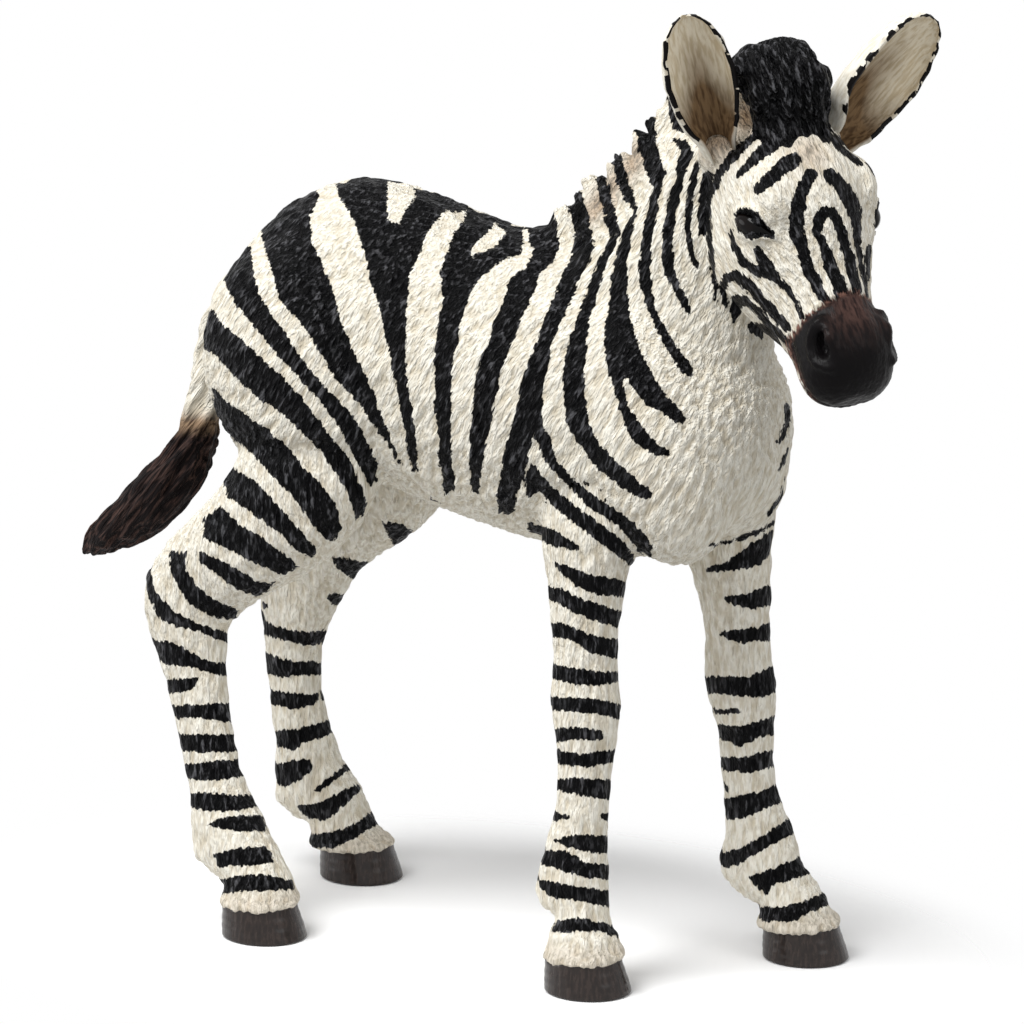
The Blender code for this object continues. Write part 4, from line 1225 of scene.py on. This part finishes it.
def coat_paint(name, way, length):
    """Cream under black stripes, the cream with a wash and painted shade in the grooves and the black
    with painted highlights on the ridges.
    """
    paint = Paint(name)
    hair = paint.drawn(way, length)
    fine = paint.noise(HAIR_GRAIN, 2.0, hair)
    ragged = paint.noise(HAIR_GRAIN, 2.0, paint.drawn(way, 3.0))
    speckle = paint.noise(SPECKLE_GRAIN, 3.0)
    crease = paint.noise(CREASE_GRAIN, 1.0, hair)
    ridge = paint.mask("ridge")
    dark = paint.mask("dark")
    colour = cream_washed_and_shaded(paint, paint.step(fine, *GROOVE))
    # Painted shade: the cream darkens further where the relief of the hair sinks into grooves
    colour = paint.mix(paint.step(ridge, -0.1, -0.9, 0.0, 0.45), colour, CREAM_GROOVE_WASH_AND_SHADE)
    tan = paint.mix(paint.step(fine, 0.36, 0.56), TAN_GROOVE, TAN)
    colour = paint.mix(paint.mask("brown"), colour, tan)
    # Painted highlights on the black stripes, where the hair's ridges rise
    highlit = paint.step(ridge, -0.2, 0.7, 0.30, 1.0)
    highlit = paint.maths("MULTIPLY", highlit, paint.step(fine, 0.50, 0.68))
    edge = paint.maths("ADD", paint.mask("ink"), paint.step(ragged, 0.25, 0.75, -0.14, 0.07))
    striped = paint.step(edge, 0.03, -0.03)
    colour = paint.mix(striped, colour, paint.mix(highlit, BLACK, BLACK_HIGHLIGHT))
    border = paint.maths("ADD", dark, paint.step(ragged, 0.3, 0.7, -0.50, 0.05))
    speckled = paint.mix(paint.step(speckle, 0.35, 0.65), SNOUT_EDGE_SPECKLE, SNOUT_EDGE)
    colour = paint.mix(paint.step(border, 0.10, 0.45), colour, speckled)
    top = paint.mix(paint.step(fine, 0.35, 0.65), SNOUT_TOP_GROOVE, SNOUT_TOP)
    snout = paint.mix(paint.mask("blush"), SNOUT_BLACK, top)
    colour = paint.mix(paint.step(dark, 0.45, 0.95), colour, snout)
    # The tail's dark tip, with painted highlights on its strands
    tip = paint.mix(paint.step(fine, 0.45, 0.70), TAIL_TIP, TAIL_TIP_HIGHLIGHT)
    colour = paint.mix(paint.mask("tip"), colour, tip)
    dull = paint.step(striped, 0.0, 1.0, CREAM_DULL, BLACK_DULL)
    dull = paint.maths("SUBTRACT", dull, paint.maths("MULTIPLY", dark, SNOUT_POLISH))
    height = paint.maths("ADD", fine, paint.step(crease, 0.35, 0.60, 0.0, 0.20))
    height = paint.maths("MULTIPLY", height, paint.step(dark, 0.2, 0.9, 1.0, 0.12))
    height = paint.maths("MULTIPLY", height, paint.step(striped, 0.0, 1.0, 1.0, 1.4))
    return paint.finish(colour, dull, COAT_SHINE, height, COAT_RELIEF)


def ear_paint(name, way):
    """Cream behind; inside, taupe hair with brown and painted shade at the root and mid-cup; a dashed
    black rim.
    """
    paint = Paint(name)
    fine = paint.noise(EAR_HAIR_GRAIN, 2.0, paint.drawn(way, 7.0))
    groove = paint.step(fine, *GROOVE)
    pale = paint.mix(groove, EAR_HAIR_PALE, EAR_HAIR_PALE_GROOVE)
    # The lining deep in the cup, darkened by brown hair and by painted shade in the hollow
    deep = paint.mix(groove, EAR_HAIR_BROWN_AND_SHADE, EAR_HAIR_BROWN_AND_SHADE_GROOVE)
    lining = paint.mix(paint.mask("deep"), pale, deep)
    colour = paint.mix(paint.mask("lining"), cream_washed_and_shaded(paint, groove), lining)
    striped = paint.step(paint.mask("ink"), 0.04, -0.04)
    colour = paint.mix(striped, colour, EAR_RIM_BLACK)
    dull = paint.step(striped, 0.0, 1.0, EAR_DULL, EAR_RIM_DULL)
    return paint.finish(colour, dull, COAT_SHINE, fine, EAR_RELIEF)


def hoof_paint():
    """Dark horn with growth rings and drier streaks down the wall."""
    paint = Paint("hoof")
    streaks = paint.noise(HORN_STREAK_GRAIN, 3.0, paint.drawn((0, 0, 1), 8.0))
    rings = paint.noise(HORN_RING_GRAIN, 2.0, paint.drawn((1, 0, 0), 9.0))
    colour = paint.mix(paint.step(streaks, 0.35, 0.7), HORN, HORN_STREAK)
    colour = paint.mix(paint.step(rings, 0.5, 0.75, 0.0, 0.15), colour, HORN_RING)
    dull = paint.step(streaks, 0.3, 0.7, *HORN_DULL)
    return paint.finish(colour, dull, HORN_SHINE, streaks, HORN_RELIEF)


def eye_paint():
    """Black gloss, a little brown where light falls in."""
    paint = Paint("eye")
    colour = paint.mix(paint.step(paint.noise(EYE_GRAIN, 1.0), 0.4, 0.7), EYE_BLACK, EYE_BROWN)
    paint.shader.inputs["Coat Weight"].default_value = 0.14
    paint.shader.inputs["Coat Roughness"].default_value = 0.03
    return paint.finish(colour, EYE_DULL, EYE_SHINE)


def floor_paint():
    """Pale and dull, and fades out into the white background."""
    paint = Paint("floor")
    reach = paint.vector("LENGTH", paint.vector("MULTIPLY", paint.place, (1, FLOOR_SQUEEZE, 1)))
    blend = paint.node("ShaderNodeMixShader")
    paint.feed(blend.inputs[0], paint.step(reach, *FLOOR_FADE))
    paint.feed(blend.inputs[1], paint.shader.outputs[0])
    paint.feed(blend.inputs[2], paint.node("ShaderNodeBsdfTransparent").outputs[0])
    paint.feed(paint.tree.nodes["Material Output"].inputs["Surface"], blend.outputs[0])
    return paint.finish((FLOOR_SHADE, FLOOR_SHADE, FLOOR_SHADE, 1), FLOOR_DULL, 0.0)


# Pieces


def parted(skin, index, name):
    """One closed piece of the skin, with a cap over each border that lies inside the figure."""
    faces = skin.faces[skin.labels == index]
    used, corners = np.unique(faces, return_inverse=True)
    form = bmesh.new()
    origin = form.verts.layers.int.new("skin_vertex")
    verts = [form.verts.new(spot) for spot in skin.spots[used] * MM]
    for vert, source in zip(verts, used):
        vert[origin] = int(source) + 1
    for corner in corners.reshape(-1, 4):
        form.faces.new([verts[i] for i in corner])
    borders = [edge for edge in form.edges if edge.is_boundary]
    for cap in bmesh.ops.holes_fill(form, edges=borders, sides=0)["faces"]:
        side = Vector()
        for vert in cap.verts:
            for face in vert.link_faces:
                if face is not cap:
                    side += face.calc_center_median() - vert.co
        centre = bmesh.ops.poke(form, faces=[cap])["verts"][0]
        centre.co += side.normalized() * (CAP_SINK * MM)
    bmesh.ops.recalc_face_normals(form, faces=form.faces)
    return linked(name, mesh_of(form, name))


def dressed(piece, masks, normals, paint):
    """Gives the piece the masks of the skin and its normals, so that no seam shows."""
    mesh = piece.data
    source = np.empty(len(mesh.vertices), dtype=np.int32)
    mesh.attributes["skin_vertex"].data.foreach_get("value", source)
    source = np.maximum(source - 1, 0)
    give_masks(mesh, {key: values[source] for key, values in masks.items()})
    mesh.attributes.remove(mesh.attributes["skin_vertex"])
    mesh.shade_smooth()
    mesh.normals_split_custom_set_from_vertices(normals[source])
    mesh.materials.clear()
    mesh.materials.append(paint)


def make_skin_pieces():
    """The skin, sculpted and painted, and then parted into one piece for each node of it."""
    skin = make_skin()
    names = dict(zip(SKIN_NODES, skin.label_shares(len(SKIN_NODES)).T))
    raise_mane(skin, names["torso"])
    sculpt_head(skin, names["head"])
    feet = foot_places()
    for leg in LEGS:
        tuck_feet(skin, feet[leg], names[leg])
    normals = skin.normals()
    masks = paint_masks(skin.spots, normals, names)
    relief, depth = fur_relief(skin, normals, names, masks.pop("mane"), masks.pop("forelock"))
    skin.spots += normals * (relief * depth)[:, None]
    masks["ridge"] = relief
    normals = skin.normals()
    for index, name in enumerate(SKIN_NODES):
        piece = parted(skin, index, name + "_skin")
        length = TAIL_STROKE if name == "tail" else COAT_STROKE
        way = tuple(HEAD.down) if name == "head" else HAIR_WAYS.get(name, LEG_HAIR_WAY)
        dressed(piece, masks, normals, coat_paint(name + "_coat", way, length))
        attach(piece, "root")
        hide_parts(name)


def give_masks(mesh, masks):
    """Lays the masks on the mesh, one value for each vertex."""
    for key, values in masks.items():
        layer = mesh.attributes.new(key, "FLOAT", "POINT")
        layer.data.foreach_set("value", np.asarray(values, dtype=np.float32))


def make_ear(name):
    """A thin cupped leaf, whose outside and lining meet at a fine dashed rim."""
    ear = EarFrame(name)
    rows = np.array(EAR_SHARES)
    turn = np.linspace(-1, 1, EAR_SIDES)
    rings = []
    ups = []
    for up in np.linspace(rows[0, 0], 1, EAR_RISES):
        half_width = np.interp(up, rows[:, 0], rows[:, 1]) * EAR_WIDTH * ear.girth
        half_depth = np.interp(up, rows[:, 0], rows[:, 2]) * EAR_DEPTH * ear.girth
        wall = min(EAR_WALL, half_width * 0.4, half_depth * 0.4)
        curl = EAR_CURL * (1 + 0.25 * smooth_step(0.30, 0.0, up))
        for inner, side in ((0, turn), (wall, turn[::-1])):
            thin = inner * (1 - 0.35 * np.abs(side) ** 4)
            across = (half_width - thin) * np.sin(side * curl)
            toward = -(half_depth - thin) * np.cos(side * curl)
            toward -= EAR_TIP_LEAN * half_depth * smooth_step(0.5, 1, up)
            rings.append(np.stack([toward, across, np.full(EAR_SIDES, up * EAR_LENGTH)], axis=1))
        ups.append(up)
    local = [np.concatenate(pair) for pair in zip(rings[::2], rings[1::2])]
    side = np.tile(np.concatenate([turn, turn[::-1]]), EAR_RISES)
    inner = np.tile(np.repeat((0.0, 1.0), EAR_SIDES), EAR_RISES)
    up = np.repeat(ups, 2 * EAR_SIDES)
    spots = [ear.world(row) for row in local]
    hair = strands(np.concatenate(spots), ear.axes[2], 0.40, 1.6, 5.0)
    piece = lofted(name + "_leaf", spots)
    dash = strands(np.concatenate(spots), (1, 0.3, 0.2), 0.55, 0.6, 2.0)
    edge = np.minimum(EAR_RIM_REACH * (1 - np.abs(side)), EAR_LENGTH * (1 - up))
    rim = edge - EAR_RIM + EAR_INNER_RIM * inner + 0.6 * smooth_step(0.30, 0.8, dash)
    rim += 2 * smooth_step(0.12, 0.0, up)
    # Darker down the middle of the cup and at its root: brown hair partly, painted shade partly
    deep = 0.80 * bump(side, 0.05, 0.32) * smooth_step(0.95, 0.40, up) + smooth_step(0.50, 0.08, up)
    give_masks(piece.data, {"ink": rim, "lining": inner, "deep": np.clip(deep, 0, 1)})
    swell_by(piece.data, EAR_HAIR * hair)
    piece.data.materials.append(ear_paint(name + "_coat", tuple(ear.axes[2])))
    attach(piece, "root")
    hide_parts(name)


def swell_by(mesh, moves):
    """Moves each vertex along its normal by so many millimetres."""
    count = len(mesh.vertices)
    spots = np.empty(count * 3)
    ways = np.empty(count * 3)
    mesh.vertices.foreach_get("co", spots)
    mesh.vertices.foreach_get("normal", ways)
    moved = spots.reshape(-1, 3) + ways.reshape(-1, 3) * (moves * MM)[:, None]
    mesh.vertices.foreach_set("co", moved.ravel())
    mesh.update()


def foot_places():
    """The middle of each sole, by leg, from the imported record's mounts."""
    places = {}
    for mount in frame["record"]["mounts"]:
        pair, side = mount["name"].split("_")[1:]
        places[f"{pair}_leg_{side}"] = np.array(mount["pos_m"]) / MM
    return places


def lofted(name, rings):
    """A closed skin through rings of the same count."""
    count = len(rings[0])
    form = bmesh.new()
    rows = [[form.verts.new(Vector(spot) * MM) for spot in row] for row in rings]
    for low, high in zip(rows, rows[1:]):
        for k in range(count):
            after = (k + 1) % count
            form.faces.new((low[k], low[after], high[after], high[k]))
    form.faces.new(rows[0][::-1])
    form.faces.new(rows[-1])
    bmesh.ops.recalc_face_normals(form, faces=form.faces)
    mesh = mesh_of(form, name)
    mesh.shade_smooth()
    return linked(name, mesh)


def make_hoof(name, foot, paint):
    """A flat sole, a wall with faint growth rings and streaks, and a top that the hair hides."""
    table = np.array(HOOF_SHARES)
    turns = np.arange(HOOF_SIDES) * (2 * math.pi / HOOF_SIDES)
    rings = []
    for share in np.linspace(0, 1, HOOF_RISES) ** HOOF_CROWDING * (len(table) - 1):
        height, ahead, size = [np.interp(share, np.arange(len(table)), table[:, k]) for k in range(3)]
        wave = HOOF_RING_DEPTH * math.sin(height * HOOF_RING_PITCH) * smooth_step(0.05, 0.25, height)
        out = np.stack([np.cos(turns), np.sin(turns)], axis=1)
        streak = np.array([noise.noise((*spot, height)) for spot in (HOOF_STREAKS * out).tolist()])
        swell = wave + streak * HOOF_STREAK_DEPTH * smooth_step(0.02, 0.2, height)
        half = np.array((HOOF_LENGTH, HOOF_WIDTH)) * size / 2
        spots = np.zeros((HOOF_SIDES, 3))
        spots[:, :2] = foot[:2] + (ahead * HOOF_LENGTH, 0) + out * half + out * swell[:, None]
        slope = 1 + HOOF_SLOPE * out[:, 0]
        spots[:, 2] = height * HOOF_HEIGHT * slope
        rings.append(spots)
    hoof = lofted(name, rings)
    hoof.data.materials.append(paint)
    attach(hoof, "root")


def make_eye(side, paint):
    """A glossy almond dome that sits in its lids."""
    turns = np.arange(EYE_SIDES) * (2 * math.pi / EYE_SIDES)
    rings = []
    for reach in EYE_RINGS:
        along = reach * EYE_HALF_LENGTH * np.cos(turns)
        above = reach * almond(EYE_HALF_LENGTH * np.cos(turns)) * np.sin(turns)
        out = np.full(EYE_SIDES, EYE_SINKS[side] + EYE_BULGE * math.sqrt(1 - (reach / EYE_DOME) ** 2))
        local = np.stack([along, above, out], axis=1) @ eye_axes() + EYE_PLACES[side]
        rings.append(HEAD.world(local * (1, side, 1)))
    eye = lofted("eye_left" if side > 0 else "eye_right", rings)
    eye.data.materials.append(paint)
    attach(eye, "root")


# Studio


def make_camera():
    """The photograph's view, with nothing shifted."""
    data = bpy.data.cameras.new("camera")
    data.sensor_width = SENSOR_WIDTH
    data.lens = SENSOR_WIDTH * VIEW.focal / IMAGE_SIZE
    data.clip_start = 0.01
    data.clip_end = 10
    camera = linked("camera", data)
    camera.location = VIEW.eye * MM
    camera.rotation_euler = Matrix((VIEW.right, VIEW.up, VIEW.back)).transposed().to_euler()
    bpy.context.scene.camera = camera


def make_lamp(name, azimuth, elevation, reach, size, watts):
    """A soft round lamp that is turned towards the foal."""
    data = bpy.data.lights.new(name, "AREA")
    data.shape = "DISK"
    data.size = size
    data.energy = watts
    lamp = linked(name, data)
    azimuth = math.radians(azimuth)
    elevation = math.radians(elevation)
    flat = math.cos(elevation)
    way = Vector((math.sin(azimuth) * flat, -math.cos(azimuth) * flat, math.sin(elevation)))
    lamp.location = Vector(VIEW_TARGET * MM) + way * reach
    lamp.rotation_euler = way.to_track_quat("Z", "Y").to_euler()


def make_floor():
    """A pale disc that keeps the soft shadow."""
    form = bmesh.new()
    bmesh.ops.create_circle(form, cap_ends=True, segments=96, radius=FLOOR_RADIUS * MM)
    floor = linked("floor", mesh_of(form, "floor"))
    floor.location.z = -FLOOR_DROP * MM
    floor.data.materials.append(floor_paint())


def make_world():
    """Soft fill for the object, and plain white for the camera and for reflections."""
    world = bpy.data.worlds.new("studio")
    bpy.context.scene.world = world
    world.use_nodes = True
    tree = world.node_tree
    fill = tree.nodes["Background"]
    fill.inputs["Color"].default_value = (1, 1, 1, 1)
    fill.inputs["Strength"].default_value = FILL_STRENGTH
    white = tree.nodes.new("ShaderNodeBackground")
    white.inputs["Color"].default_value = (1, 1, 1, 1)
    white.inputs["Strength"].default_value = 1.0
    path = tree.nodes.new("ShaderNodeLightPath")
    seen = path.outputs["Is Camera Ray"]
    for ray in ("Is Glossy Ray", "Is Transmission Ray"):
        either = tree.nodes.new("ShaderNodeMath")
        either.operation = "MAXIMUM"
        tree.links.new(seen, either.inputs[0])
        tree.links.new(path.outputs[ray], either.inputs[1])
        seen = either.outputs["Value"]
    blend = tree.nodes.new("ShaderNodeMixShader")
    tree.links.new(seen, blend.inputs[0])
    tree.links.new(fill.outputs[0], blend.inputs[1])
    tree.links.new(white.outputs[0], blend.inputs[2])
    tree.links.new(blend.outputs[0], tree.nodes["World Output"].inputs["Surface"])


def main():
    make_camera()
    make_skin_pieces()
    for name in EARS:
        make_ear(name)
    horn = hoof_paint()
    for leg, foot in foot_places().items():
        make_hoof(leg.replace("leg", "hoof"), foot, horn)
    gloss = eye_paint()
    for side in (-1, 1):
        make_eye(side, gloss)
    for lamp in LAMPS:
        make_lamp(*lamp)
    make_floor()
    make_world()
    bpy.context.scene.view_settings.view_transform = "Standard"


main()
